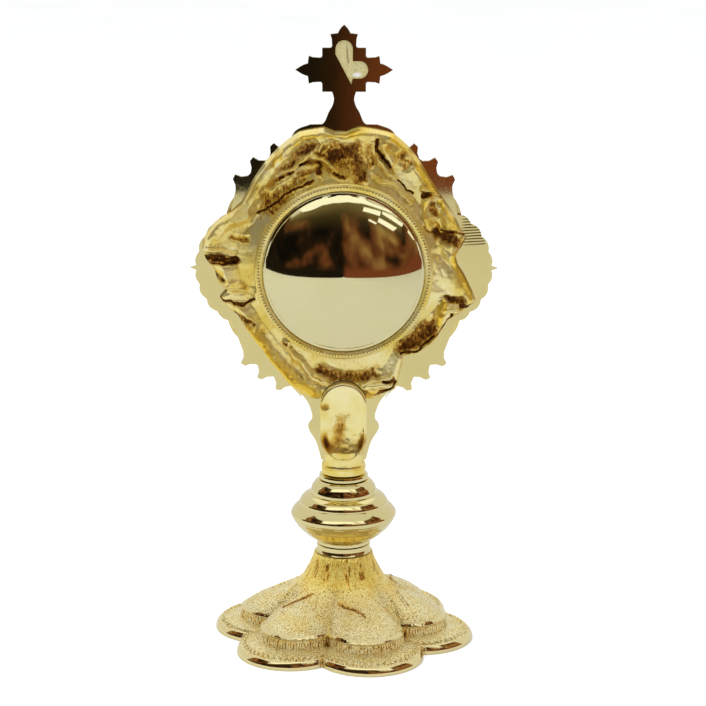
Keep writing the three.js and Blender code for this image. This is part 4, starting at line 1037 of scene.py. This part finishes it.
def cast_relief(x, z, height, ridges, hollows, cuts):
    """Adds ridges, hollows and cuts to a casting's height and gives its tarnish value: brown in the
    hollows, painted shade in the cuts, and the ridges' own values, below 0 for a painted yellow
    highlight. The lines wander a little, as hand-cut wax does."""
    points = flat(x, z)
    x = x + 1.3 * grain(points, 5.0, 11) + 0.5 * grain(points, 1.7, 14)
    z = z + 1.3 * grain(points, 5.0, 12) + 0.5 * grain(points, 1.7, 15)
    rough = grain(points, 1.5, 13) + 0.6 * grain(points, 0.7, 16)
    wear_and_shading, dip = np.zeros(x.shape), np.zeros(x.shape)
    for line, width, depth, stain_and_shade in hollows:
        print_of = swell(away_from(line, x, z), width * HOLLOW_SPREAD)
        dip = np.maximum(dip, depth * print_of**0.8)
        wear_and_shading = np.maximum(wear_and_shading, stain_and_shade * np.clip(1.2 * print_of + 0.45 * rough * (print_of > 0), 0, 1))
    height = height - dip
    for line, width, raised, stain_and_shade in ridges:
        print_of = swell(away_from(line, x, z), width * RIDGE_SPREAD)
        height = height + raised * print_of**0.9
        wear_and_shading = wear_and_shading * (1 - np.sqrt(print_of)) + stain_and_shade * print_of
    for line, width, depth in cuts:
        print_of = swell(away_from(line, x, z), width * RIDGE_SPREAD)
        height = height - 0.8 * depth * print_of
        # Painted shade: the cuts are darkened to near black.
        cut_shade = np.clip(1.1 * np.sqrt(print_of) + 0.3 * rough * print_of, 0, 1)
        wear_and_shading = np.where(print_of > 0, np.maximum(wear_and_shading, cut_shade), wear_and_shading)
    return height, wear_and_shading


def softened(height, reach):
    """The height averaged over a patch of the grid, reach points to each side."""
    span = range(-reach, reach + 1)
    height = sum(np.roll(height, shift, 1) for shift in span) / len(span)
    rows = np.arange(len(height))
    return sum(height[np.clip(rows + shift, 0, rows[-1])] for shift in span) / len(span)


def reach_of_back(degrees):
    angles, distances = zip(*BACK_OUTLINE)
    smooth = np.interp(degrees, angles, distances)
    for _ in range(3):
        smooth = (np.roll(smooth, 1) + 2 * smooth + np.roll(smooth, -1)) / 4
    return smooth


x, z, share = relief_grid(reach_of_back, CAST_STEPS, CAST_ROWS)
height = np.interp(share, CAST_SHARES, CAST_HEIGHTS)
flat_points = flat(x, z)
coarse = grain(flat_points, 6.5, 2)
fine = grain(flat_points, 1.1, 5)
height = height + 0.35 * coarse * np.clip(share * 4, 0, 1) * np.clip((1 - share) * 6, 0, 1)
height, wear_and_shading = cast_relief(x, z, height, RIDGES, HOLLOWS, CUTS)
# Painted shade and highlight: points lower than the casting around them are darkened, and raised points
# on darkened lines are pushed towards the polished, deep yellow finish.
sunk = softened(height, 9) - height
darkened = wear_and_shading > 0
wear_and_shading = 0.88 * wear_and_shading + 0.45 * np.clip(sunk - 0.12, 0, 0.7)
wear_and_shading = wear_and_shading - 0.5 * np.clip(-sunk - 0.1, 0, 0.6) * darkened
wear_and_shading = wear_and_shading - 0.9 * swell(share - 0.92, 0.14) * np.clip(1.6 * grain(flat_points, 11, 6) + 0.3, 0, 1)
height = height + fine * (0.05 + 0.22 * np.clip(wear_and_shading, 0, 1))
wear_and_shading = np.clip(wear_and_shading + 0.12 * np.clip(-coarse - 0.1, 0, 1), -1, 1)
# The inner edge stays level under the beaded ring, and the outer edge runs out thin.
keep_edge = np.clip(share / 0.16, 0, 1)
height = RING_LEDGE * (1 - keep_edge) + height * keep_edge
height = np.clip(height, 0.7, RING_LEDGE + 0.05)
brink = np.clip((share - 0.95) / 0.05, 0, 1)
height = height * (1 - brink) + np.minimum(height, 1.5) * brink
cast_rows = [standing(x[0], CAST_FACE, z[0] + head_z)]
cast_rows += list(standing(x, CAST_FACE - height, z + head_z))
cast_rows.append(standing(x[-1], CAST_FACE, z[-1] + head_z))
wear_and_shading = np.concatenate([wear_and_shading[:1], wear_and_shading, wear_and_shading[-1:]])
back_casting = skin("rear_frame", cast_rows, closed=True, crease=CAST_CREASE, tarnish_and_shading=wear_and_shading)
arch = thumb_outline(TONGUE_HALF + CLEARANCE, tongue_bottom, TONGUE_HEIGHT + CLEARANCE)
arch_rows = [cap(arch, -16), *(standing(arch[:, 0], y, arch[:, 1]) for y in (-16, 0)), cap(arch, 0)]
cut(back_casting, skin("arch", arch_rows))
back_casting.data.shade_smooth()
back_casting.data.set_sharp_from_angle(angle=math.radians(CAST_CREASE))
fit(back_casting, cast_gilding("frame_gilding", 0.8, 0.34, 0.5, 0.3), "gilt_cast", "back_casting")

# Front casting: a wreath of twelve swelling leaves round the window, cast and gilded, with a rebate
# behind it for the flange of the case.
LEAVES = 12
LEAF_REACH = (41, 3.4)
VEINS = 36
FRONT_FACE = 1.3
FLANGE_REBATE = (28.9, 2.6)
FRONT_STEPS = 1080
FRONT_ROWS = 70


def reach_of_front(degrees):
    least, more = LEAF_REACH
    return least + more * np.abs(np.cos(np.radians(degrees) * LEAVES / 2))


x, z, share = relief_grid(reach_of_front, FRONT_STEPS, FRONT_ROWS)
turn = np.arctan2(z, x)
wave = np.abs(np.cos(LEAVES / 2 * turn))
height = np.interp(share, [0, 0.22, 0.5, 0.8, 0.93, 1], [6, 5.7, 3.2, 4.0, 3.2, 1.2])
height = height + wave * np.interp(share, [0, 0.3, 0.6, 0.85, 1], [0, 0.3, 1.1, 1.5, 0.6])
veins = np.abs(np.sin(VEINS * turn + 3 * np.sin(LEAVES * turn) * (share - 0.3)))
height = height - 0.5 * (1 - veins) ** 2 * np.clip((share - 0.25) * 4, 0, 1)
height = height + 0.06 * grain(flat(x, z), 1.4, 9)
height = np.clip(height, 0.9, 6)
wear_and_shading = np.clip(0.8 * (1 - veins) ** 3 + 0.7 * (1 - wave) * swell(share - 0.5, 0.25), 0, 1)
wear_and_shading = np.clip(wear_and_shading * np.clip((share - 0.2) * 6, 0, 1), 0, 1)
rebate_radius, rebate_face = FLANGE_REBATE
front_rows = [standing(x[0], rebate_face, z[0] + head_z)]
front_rows += list(standing(x, FRONT_FACE + height, z + head_z))
front_rows.append(standing(x[-1], FRONT_FACE, z[-1] + head_z))
even = np.linspace(-math.pi, math.pi, FRONT_STEPS, endpoint=False)
for depth in (FRONT_FACE, rebate_face):
    front_rows.append(standing(rebate_radius * np.cos(even), depth,
                               rebate_radius * np.sin(even) + head_z))
wear_and_shading = np.concatenate([wear_and_shading[:1], wear_and_shading, np.zeros((3, FRONT_STEPS))])
front_casting = skin("front_wreath", front_rows, closed=True, crease=60, tarnish_and_shading=wear_and_shading)
fit(front_casting, cast_gilding("wreath_gilding", 0.85, 0.22, 0.42), "gilt_cast", "front_casting")

# Relic case: a spun brass barrel through the plate, with a lip in front for the window. The glass,
# its cork seal, a gilt holder on a velvet pad, a backing disc and a sprung ring lie inside it.


def head_row(turn, radius, depth):
    """A row of points round the head's axis, radius and depth being one or many."""
    radius = radius * np.ones(len(turn))
    return standing(radius * np.sin(turn), depth, radius * np.cos(turn) + head_z)


def along_head(profile, steps):
    """Rows of a turned piece about the head's axis, from a profile of [radius, y] points."""
    return [head_row(full_turn(steps), r, y) for r, y in profile]


def spun_brass():
    material, tree, shader, place = finish_of("spun_brass", 1)
    rings = clouds(tree, place, 800, 5)
    tint = shades(tree, rings, (0.3, (0.62, 0.47, 0.2)), (0.7, (0.72, 0.58, 0.28)))
    feed(tree, shader, Base_Color=tint, Roughness=between(tree, rings, 0.3, 0.7, 0.22, 0.36))
    return material


def velvet():
    """Deep red pile, darker in the nap's hollows."""
    material, tree, shader, place = finish_of("velvet", 0)
    nap = clouds(tree, place, 2600, 6)
    crush = clouds(tree, place, 160, 3)
    both = reckon(tree, "MULTIPLY", nap, crush)
    tint = shades(tree, both, (0.12, (0.09, 0.003, 0.008)), (0.4, (0.36, 0.012, 0.025)))
    shader.inputs["Sheen Weight"].default_value = 0.7
    shader.inputs["Sheen Roughness"].default_value = 0.35
    shader.inputs["Sheen Tint"].default_value = (0.9, 0.35, 0.35, 1)
    rough = between(tree, nap, 0.3, 0.7, 0.75, 0.95)
    feed(tree, shader, Base_Color=tint, Roughness=rough, Normal=dents(tree, 0.5, 0.0002, nap))
    return material


def window_pane():
    material, tree, shader, place = finish_of("window_pane", 0)
    drift = clouds(tree, place, 90, 2)
    tint = shades(tree, drift, (0.3, (0.96, 0.985, 0.975)), (0.7, (0.99, 1.0, 0.995)))
    shader.inputs["Transmission Weight"].default_value = 1
    shader.inputs["IOR"].default_value = 1.5
    feed(tree, shader, Base_Color=tint, Roughness=between(tree, drift, 0.3, 0.7, 0.0, 0.02))
    return material


def cork_sheet():
    material, tree, shader, place = finish_of("cork_sheet", 0)
    cells = add(tree, "TexVoronoi", {"Vector": place, "Scale": 900}).outputs["Distance"]
    tint = shades(tree, cells, (0.1, (0.42, 0.25, 0.12)), (0.6, (0.2, 0.1, 0.045)))
    rough = between(tree, cells, 0, 1, 0.75, 0.95)
    feed(tree, shader, Base_Color=tint, Roughness=rough, Normal=dents(tree, 0.4, 0.0002, cells))
    return material


brass = spun_brass()
y_back, y_front = barrel_low[1], barrel_high[1]
barrel = [(25, y_back), (25.3, y_back), (26, y_back + 0.3), (26, 1.3), (28.5, 1.3), (28.6, 1.4)]
barrel += [(28.6, 2.2), (28.5, 2.3), (26, 2.3), (26, y_front - 0.5)]
barrel += rounded((25.9, y_front - 0.35), (25.3, y_front), 0.1, 5)
barrel += [(23.5, y_front), (23.2, y_front - 0.2), (23.2, y_front - 1), (25, y_front - 1)]
fit(skin("spun_case", along_head(barrel, 160), closed=True), brass, "inner_brass", "case_barrel")

glass_low, glass_high = corners_of("window_glass")
pane = [(0, glass_low[1]), (24.5, glass_low[1]), (24.7, glass_low[1] + 0.2), (24.7, glass_high[1] - 0.2)]
pane += [(24.5, glass_high[1]), (0, glass_high[1])]
fit(skin("glass_pane", along_head(pane, 128)), window_pane(), "clear_glass", "window_glass")

seal_low, seal_high = corners_of("window_seal")
seal = [(22.9, seal_low[1]), (24.7, seal_low[1]), (24.7, seal_high[1]), (22.9, seal_high[1])]
fit(skin("cork_seal", along_head(seal, 128), closed=True), cork_sheet(), "cork", "window_seal")

holder_y = corners_of("relic_holder")[0][1]
holder = [(0, holder_y), (5, holder_y), (5, holder_y + 0.5)]
holder += rounded((4.9, holder_y + 0.6), (3.4, holder_y + 0.75), 0.12, 12)
holder += [(3.2, holder_y + 0.6), (3.2, holder_y + 0.3), (0, holder_y + 0.3)]
fit(skin("gilt_holder", along_head(holder, 120)), brass, "inner_brass", "relic_holder")

PAD_RADIUS = 24.6
PAD_PUFF = 1.25
pad_y = corners_of("relic_pad")[0][1]
pad_turn = full_turn(240)
pad_rows = [np.tile([0, pad_y, head_z], (240, 1))]
pad_profile = [(24.3, pad_y), (24.65, pad_y + 0.3), (PAD_RADIUS, pad_y + 0.7)]
for t in np.linspace(0.06, 1.5, 26):
    crown = pad_y + 0.7 + PAD_PUFF * math.sin(t) ** 0.7
    pad_profile.append((PAD_RADIUS * math.cos(t) ** 0.7, crown))
for radius, depth in pad_profile:
    pucker = 0.10 * np.cos(18 * pad_turn) * math.sin(math.pi * min(1, radius / 24.7)) ** 2
    pucker = pucker * (depth > pad_y + 0.7)
    dimple = 0.5 * float(swell(radius, 5.5))
    pad_rows.append(head_row(pad_turn, radius, depth - dimple + pucker))
pad_rows.append(np.tile([0, pad_profile[-1][1] - 0.5, head_z], (240, 1)))
pad = fit(skin("velvet_pad", pad_rows, crease=80), velvet(), "red_velvet", "relic_pad")

# The disc and the sprung ring are plain pressings, so their CAD nodes show as they are.
for node, material in (("backing_disc", brass), ("spring_ring", steel)):
    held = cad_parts[node]
    held.data.materials.clear()
    held.data.materials.append(material)

# Beaded rings: turned rings that screw on to both ends of the case and clamp the castings. A row
# of small beads is rolled on their faces between a flat band and a rounded edge.
BEADS = 165
BEADS_IN = 1.35
RING_SEAT = 7.6
RING_FACE = 9.2


def bead_ring(inner, outer, seat, face, side, bore):
    """Rows of a ring, from its bore on the seat out and round over its face, and how dark each
    point is: the seats between the beads are brown. bore is the line from the face back inside."""
    steps = BEADS * 10
    turn = full_turn(steps)
    phase = np.abs((turn / (2 * math.pi) * BEADS) % 1 - 0.5)
    middle = inner + BEADS_IN
    pitch = 2 * math.pi * middle / BEADS
    even = np.ones(steps)
    rows = [(HOLE, seat, 0), (outer, seat, 0), (outer, seat + 0.5, 0)]
    outside = rounded((outer - 0.02, seat + 0.6), (outer - 0.75, face - 0.1), 0.16, 8)
    rows += [(r, y, 0) for r, y in outside]
    for across in np.linspace(0.5, -0.5, 13):
        round_over = math.sqrt(1 - (across / 0.52) ** 2)
        gap = swell(np.hypot((0.5 - phase) * pitch, max(0, abs(across) - 0.12)), 0.3)
        rows.append((middle + across, face - 0.2 + 0.2 * round_over - 0.15 * gap * round_over, gap))
    band = [(inner + 0.7, face - 0.17), (inner + 0.25, face - 0.17), (inner + 0.1, face - 0.21)]
    rows += [(r, y, 0) for r, y in [*band, *bore]]
    grid = [head_row(turn, r, side * y) for r, y, _ in rows]
    return grid, np.array([dark * even for _, _, dark in rows])


def bead_gilding():
    """Soft gilding in paler and deeper yellow patches, brown in the seats between the beads."""
    material, tree, shader, place = finish_of("bead_gilding", 0.85)
    seats = painted(tree, "tarnish_and_shading")
    wipes = clouds(tree, place, 700, 5)
    patch = clouds(tree, place, 90, 3)
    shift = reckon(tree, "ADD", seats, between(tree, wipes, 0.3, 0.7, -0.15, 0.15))
    gilt = shades(tree, patch, (0.38, (0.94, 0.80, 0.33)), (0.6, (0.90, 0.70, 0.16)))
    tint = blend(tree, between(tree, shift, 0.3, 0.8, 0, 1), gilt, (0.26, 0.15, 0.03, 1))
    feed(tree, shader, Base_Color=tint, Roughness=between(tree, wipes, 0.3, 0.7, 0.24, 0.38))
    return material


beads = bead_gilding()
cover_radius = (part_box("rear_cover")[1].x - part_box("rear_cover")[0].x) / 2 / MM
back_low, back_high = corners_of("back_bead_ring")
outer = (back_high[0] - back_low[0]) / 2
inner = cover_radius + CLEARANCE
back_bore = [(inner, 8.9), (inner, 8.2), (HOLE, 8.2)]
rows, dark = bead_ring(inner, outer, RING_SEAT, RING_FACE, -1, back_bore)
back_beads = skin("rear_beads", rows, closed=True, crease=60, tarnish_and_shading=dark)
fit(back_beads, beads, "gilt_polished", "back_bead_ring")
rows, dark = bead_ring(27.5, outer, RING_SEAT, RING_FACE, 1, [(26.5, 9.1), (HOLE, 8.9)])
front_beads = skin("front_beads", rows, closed=True, crease=60, tarnish_and_shading=dark)
fit(front_beads, beads, "gilt_polished", "front_bead_ring")

# Domed cover: spun from sheet brass, polished to a mirror and gilded. Its skirt pushes into the
# back of the case and its edge lies inside the beaded ring; it pulls straight off.
DOME_EDGE = 26.3
DOME_RISE = 8.6
COVER_SEAT = 8.5
COVER_RIM = 9.6
COVER_ROUND = 0.4
SKIRT_RADIUS = 24.7
SKIRT_BORE = 23.7
SKIRT_LENGTH = 4
GOLD = (0.78, 0.71, 0.42)


def dome_line(radius, rise, count):
    """Points from the crown to the edge of a dome, as [radius, height]."""
    sphere = (radius**2 + rise**2) / (2 * rise)
    opening = math.asin(radius / sphere)
    turns = [opening * i / count for i in range(count + 1)]
    return [(sphere * math.sin(t), sphere * (math.cos(t) - 1) + rise) for t in turns]


cover_steps = 240
cover_turn = full_turn(cover_steps)
cover_rows = []
for radius, rise in dome_line(DOME_EDGE, DOME_RISE, 60):
    # The sheet isn't quite round: it is a little flatter above its middle, and falls straighter below.
    x, z = radius * np.sin(cover_turn), radius * np.cos(cover_turn)
    lift = 0.047 * z * (1 - (z / DOME_EDGE) ** 2 - (x / DOME_EDGE) ** 6)
    below = np.clip(-np.cos(cover_turn), 0, 1) ** 2
    rise = rise + below * (DOME_RISE * (1 - (radius / DOME_EDGE) ** 1.3) - rise)
    cover_rows.append(head_row(cover_turn, radius, -COVER_RIM - rise + lift))
rim_flat = cover_radius - COVER_ROUND
rim = [(DOME_EDGE + 0.04, -COVER_RIM + 0.03), (rim_flat, -COVER_RIM + 0.05)]
rim += [(rim_flat + COVER_ROUND * math.sin(a), -COVER_RIM + 0.45 - COVER_ROUND * math.cos(a))
        for a in np.linspace(0.1, math.pi / 2, 9)]
rim += [(cover_radius, -COVER_SEAT - 0.1), (cover_radius - 0.1, -COVER_SEAT)]
rim += [(SKIRT_RADIUS, -COVER_SEAT), (SKIRT_RADIUS, -COVER_SEAT + SKIRT_LENGTH - 0.2)]
rim += [(SKIRT_RADIUS - 0.2, -COVER_SEAT + SKIRT_LENGTH), (SKIRT_BORE, -COVER_SEAT + SKIRT_LENGTH)]
rim += [(r, -COVER_RIM - h) for r, h in reversed(dome_line(SKIRT_BORE, DOME_RISE - 1, 12))]
cover_rows += along_head(rim, cover_steps)
cover = skin("domed_back", cover_rows, crease=50)
dome_gilding = polished_gilding("dome_gilding", GOLD, 0.004, 0.015)
fit(cover, dome_gilding, "gilt_polished", "rear_cover", body="cover")

# Studio: a wide pale table, a pale room, and a dark brown wall with light panels in front of the
# polished back, which only the reflections show.
scene = bpy.context.scene
scene.view_settings.view_transform = "Standard"
scene.view_settings.look = "None"


def card(name, corners, strength=1, colour=(1, 1, 1)):
    """A flat card that only reflections show. Gives it back with its node tree and its glow."""
    mesh = bpy.data.meshes.new(name)
    mesh.from_pydata(corners, [], [range(len(corners))])
    made = placed(name, mesh)
    material = bpy.data.materials.new(name)
    material.use_nodes = True
    tree = material.node_tree
    tree.nodes.clear()
    glow = add(tree, "Emission", {"Color": (*colour, 1), "Strength": strength})
    add(tree, "OutputMaterial", {"Surface": glow.outputs[0]})
    mesh.materials.append(material)
    made.visible_camera = False
    made.visible_diffuse = False
    made.visible_shadow = False
    made.visible_transmission = False
    return made, tree, glow


HEAD_HEIGHT = 0.131


def direction(azimuth, elevation, distance):
    """A point seen from the head at an angle from the way to the camera and above the level."""
    a, e = math.radians(azimuth), math.radians(elevation)
    return (distance * math.sin(a), -distance * math.cos(a), HEAD_HEIGHT + distance * math.tan(e))


floor_mesh = bpy.data.meshes.new("table")
floor_mesh.from_pydata([(-8, -8, 0), (8, -8, 0), (8, 8, 0), (-8, 8, 0)], [], [(0, 1, 2, 3)])
table = placed("table", floor_mesh)
material, tree, shader, place = finish_of("table", 0)
cloud = clouds(tree, place, 6, 3)
pale = shades(tree, cloud, (0.3, (0.70, 0.71, 0.72)), (0.7, (0.73, 0.74, 0.745)))
feed(tree, shader, Base_Color=pale)
shader.inputs["Roughness"].default_value = 0.8
shader.inputs["Specular IOR Level"].default_value = 0.1
shader.inputs["Emission Color"].default_value = (1, 1, 1, 1)
seen = add(tree, "LightPath").outputs["Is Camera Ray"]
feed(tree, shader, Emission_Strength=between(tree, seen, 0, 1, 0, 0.42))
floor_mesh.materials.append(material)

# The dark wall stands on an arc round the object, from the table up, with an olive curtain above
# it. Its colours are broad upright shapes, near black on the left and warm brown on the right.
WALL_DISTANCE = 1.05
WALL_ROWS = 26


def wall_top(azimuth):
    """How high the wall stands at an angle: it falls away to both sides and rises at its ends."""
    ends = 46 * min(max((abs(azimuth) - 52) / 8, 0), 1)
    return max(41 - (0.0036 if azimuth < 0 else 0.0062) * azimuth**2, 14, ends)


def curtain_top(azimuth):
    return max(wall_top(azimuth) + 2, 60 - 0.0085 * azimuth**2)


azimuths = np.linspace(-100, 100, 101)
wall_points, rises, acrosses = [], [], []
for azimuth in azimuths:
    for rise in np.linspace(0, 2, WALL_ROWS):
        low_end = direction(azimuth, wall_top(azimuth), WALL_DISTANCE)
        high_end = direction(azimuth, curtain_top(azimuth), WALL_DISTANCE)
        height = low_end[2] * min(rise, 1) + (high_end[2] - low_end[2]) * max(rise - 1, 0)
        wall_points.append((low_end[0], low_end[1], height))
        rises.append(rise)
        acrosses.append(azimuth / 100)
wall_faces = []
for i in range(len(azimuths) - 1):
    for j in range(WALL_ROWS - 1):
        a = i * WALL_ROWS + j
        wall_faces.append((a, a + WALL_ROWS, a + WALL_ROWS + 1, a + 1))

dark_wall, tree, glow = card("dark_wall", [(0, 0, 0)] * 3)
dark_wall.data.clear_geometry()
dark_wall.data.from_pydata(wall_points, [], wall_faces)
for name, values in (("rise", rises), ("across", acrosses)):
    dark_wall.data.attributes.new(name, "FLOAT", "POINT").data.foreach_set("value", values)
rise = painted(tree, "rise")
across = painted(tree, "across")
spot = add(tree, "CombineXYZ", {"X": across, "Y": rise}).outputs[0]
shapes = clouds(tree, stretched(tree, spot, Scale=(5, 1.8, 1)), 1.0, 2, 0.45)
streaks = clouds(tree, stretched(tree, spot, Scale=(12, 3, 1)), 1.0, 2)
side = between(tree, across, -1, 1, 0, 1)
bias = shades(tree, side, (0.0, (0.22,) * 3), (0.12, (0.1,) * 3), (0.2, (0.0,) * 3),
              (0.465, (0.0,) * 3), (0.54, (0.19,) * 3), (0.62, (0.17,) * 3), (0.68, (0.30,) * 3),
              (0.71, (0.14,) * 3), (0.85, (0.2,) * 3), (1.0, (0.28,) * 3))
value = reckon(tree, "ADD", shapes, bias)
value = reckon(tree, "ADD", between(tree, streaks, 0.3, 0.7, -0.03, 0.03), value)
brown = shades(tree, value, (0.40, (0.006, 0.005, 0.004)), (0.54, (0.022, 0.012, 0.007)),
               (0.66, (0.15, 0.052, 0.022)), (0.80, (0.32, 0.18, 0.07)), (0.92, (0.45, 0.30, 0.12)))
low_wall = shades(tree, side, (0.495, (0.014, 0.010, 0.007)), (0.511, (0.20, 0.058, 0.026)))
brown = blend(tree, between(tree, rise, 0.12, 0.25, 1, 0), brown, low_wall)
lift = between(tree, rise, 1.0, 2.0, 0, 1)
olive = shades(tree, lift, (0.0, (0.10, 0.075, 0.030)), (0.5, (0.19, 0.15, 0.065)),
               (0.8, (0.31, 0.27, 0.13)), (1.0, (0.5, 0.46, 0.3)))
above = blend(tree, between(tree, rise, 0.74, 1.3, 0, 1), brown, olive)
tree.links.new(above, glow.inputs["Color"])

# Lights over the wall: a long one that tapers at both ends, one beside its right end, and a group
# of small windows under that. Each band gives its angle from the camera, and its two heights.
BANDS = [
    [(-56, 41, 46), (-48, 39, 50), (-38, 42.5, 53), (-28, 47.3, 57), (-15, 50.1, 59), (5, 51.4, 59),
     (24, 49.2, 56), (31.6, 46.9, 50.2), (36, 45.4, 48.1), (46, 41.2, 43.6), (54, 37.3, 38.9)],
    [(30, 54.5, 57), (38, 51, 55), (46, 47.4, 52), (56, 42.5, 47)],
]
WINDOWS = [
    [(22.4, 43.6), (40, 37.8), (43, 40.5), (24.9, 46.4)],
    [(43.5, 38.7), (57, 27), (59.1, 28.7), (52.3, 36.2), (44.9, 40.3)],
    [(36.1, 34.4), (48.4, 26), (52.7, 27.2), (38.6, 37)],
    [(26.4, 36.5), (32.9, 33.2), (35.1, 33.7), (27.7, 37.6)],
    [(60, 22.4), (62.9, 15.7), (63.6, 15.9), (60.8, 23.8)],
]
LIGHT_DISTANCE = 0.98
for band in BANDS:
    band_az, band_low, band_high = (np.array(column) for column in zip(*band))
    steps = np.linspace(band_az[0], band_az[-1], 40)
    for a, b in zip(steps, steps[1:]):
        corners = [(a, np.interp(a, band_az, band_low)), (b, np.interp(b, band_az, band_low))]
        corners += [(b, np.interp(b, band_az, band_high)), (a, np.interp(a, band_az, band_high))]
        WINDOWS.append(corners)
for i, corners in enumerate(WINDOWS):
    points = [direction(a, e, LIGHT_DISTANCE) for a, e in corners]
    card(f"light_{i}", points, 1.35, (0.95, 0.97, 1.0))
ceiling = [(-0.9, 0.25, 1.7), (0.9, 0.25, 1.7), (0.9, 1.9, 1.5), (-0.9, 1.9, 1.5)]
card("ceiling", ceiling, 1.05, (1.0, 0.99, 0.97))

soft = bpy.data.lights.new("soft_box", "AREA")
soft.shape = "RECTANGLE"
soft.size, soft.size_y = 1.6, 1.2
soft.energy = 14
soft_box = placed("soft_box", soft)
soft_box.visible_glossy = False
soft_box.location = (-0.5, -0.3, 1.5)
towards = Vector((0, 0, 0.1)) - Vector(soft_box.location)
soft_box.rotation_euler = towards.to_track_quat("-Z", "Y").to_euler()

world = bpy.data.worlds.new("pale_room")
scene.world = world
world.use_nodes = True
tree = world.node_tree
tree.nodes.clear()
rays_seen = add(tree, "LightPath").outputs["Is Camera Ray"]
room = add(tree, "Background", {"Color": (1.0, 1.0, 0.99, 1), "Strength": 0.76})
backdrop = add(tree, "Background", {"Color": (1, 1, 1, 1), "Strength": 1.0})
shown = add(tree, "MixShader", {0: rays_seen, 1: room.outputs[0], 2: backdrop.outputs[0]})
add(tree, "OutputWorld", {"Surface": shown.outputs[0]})
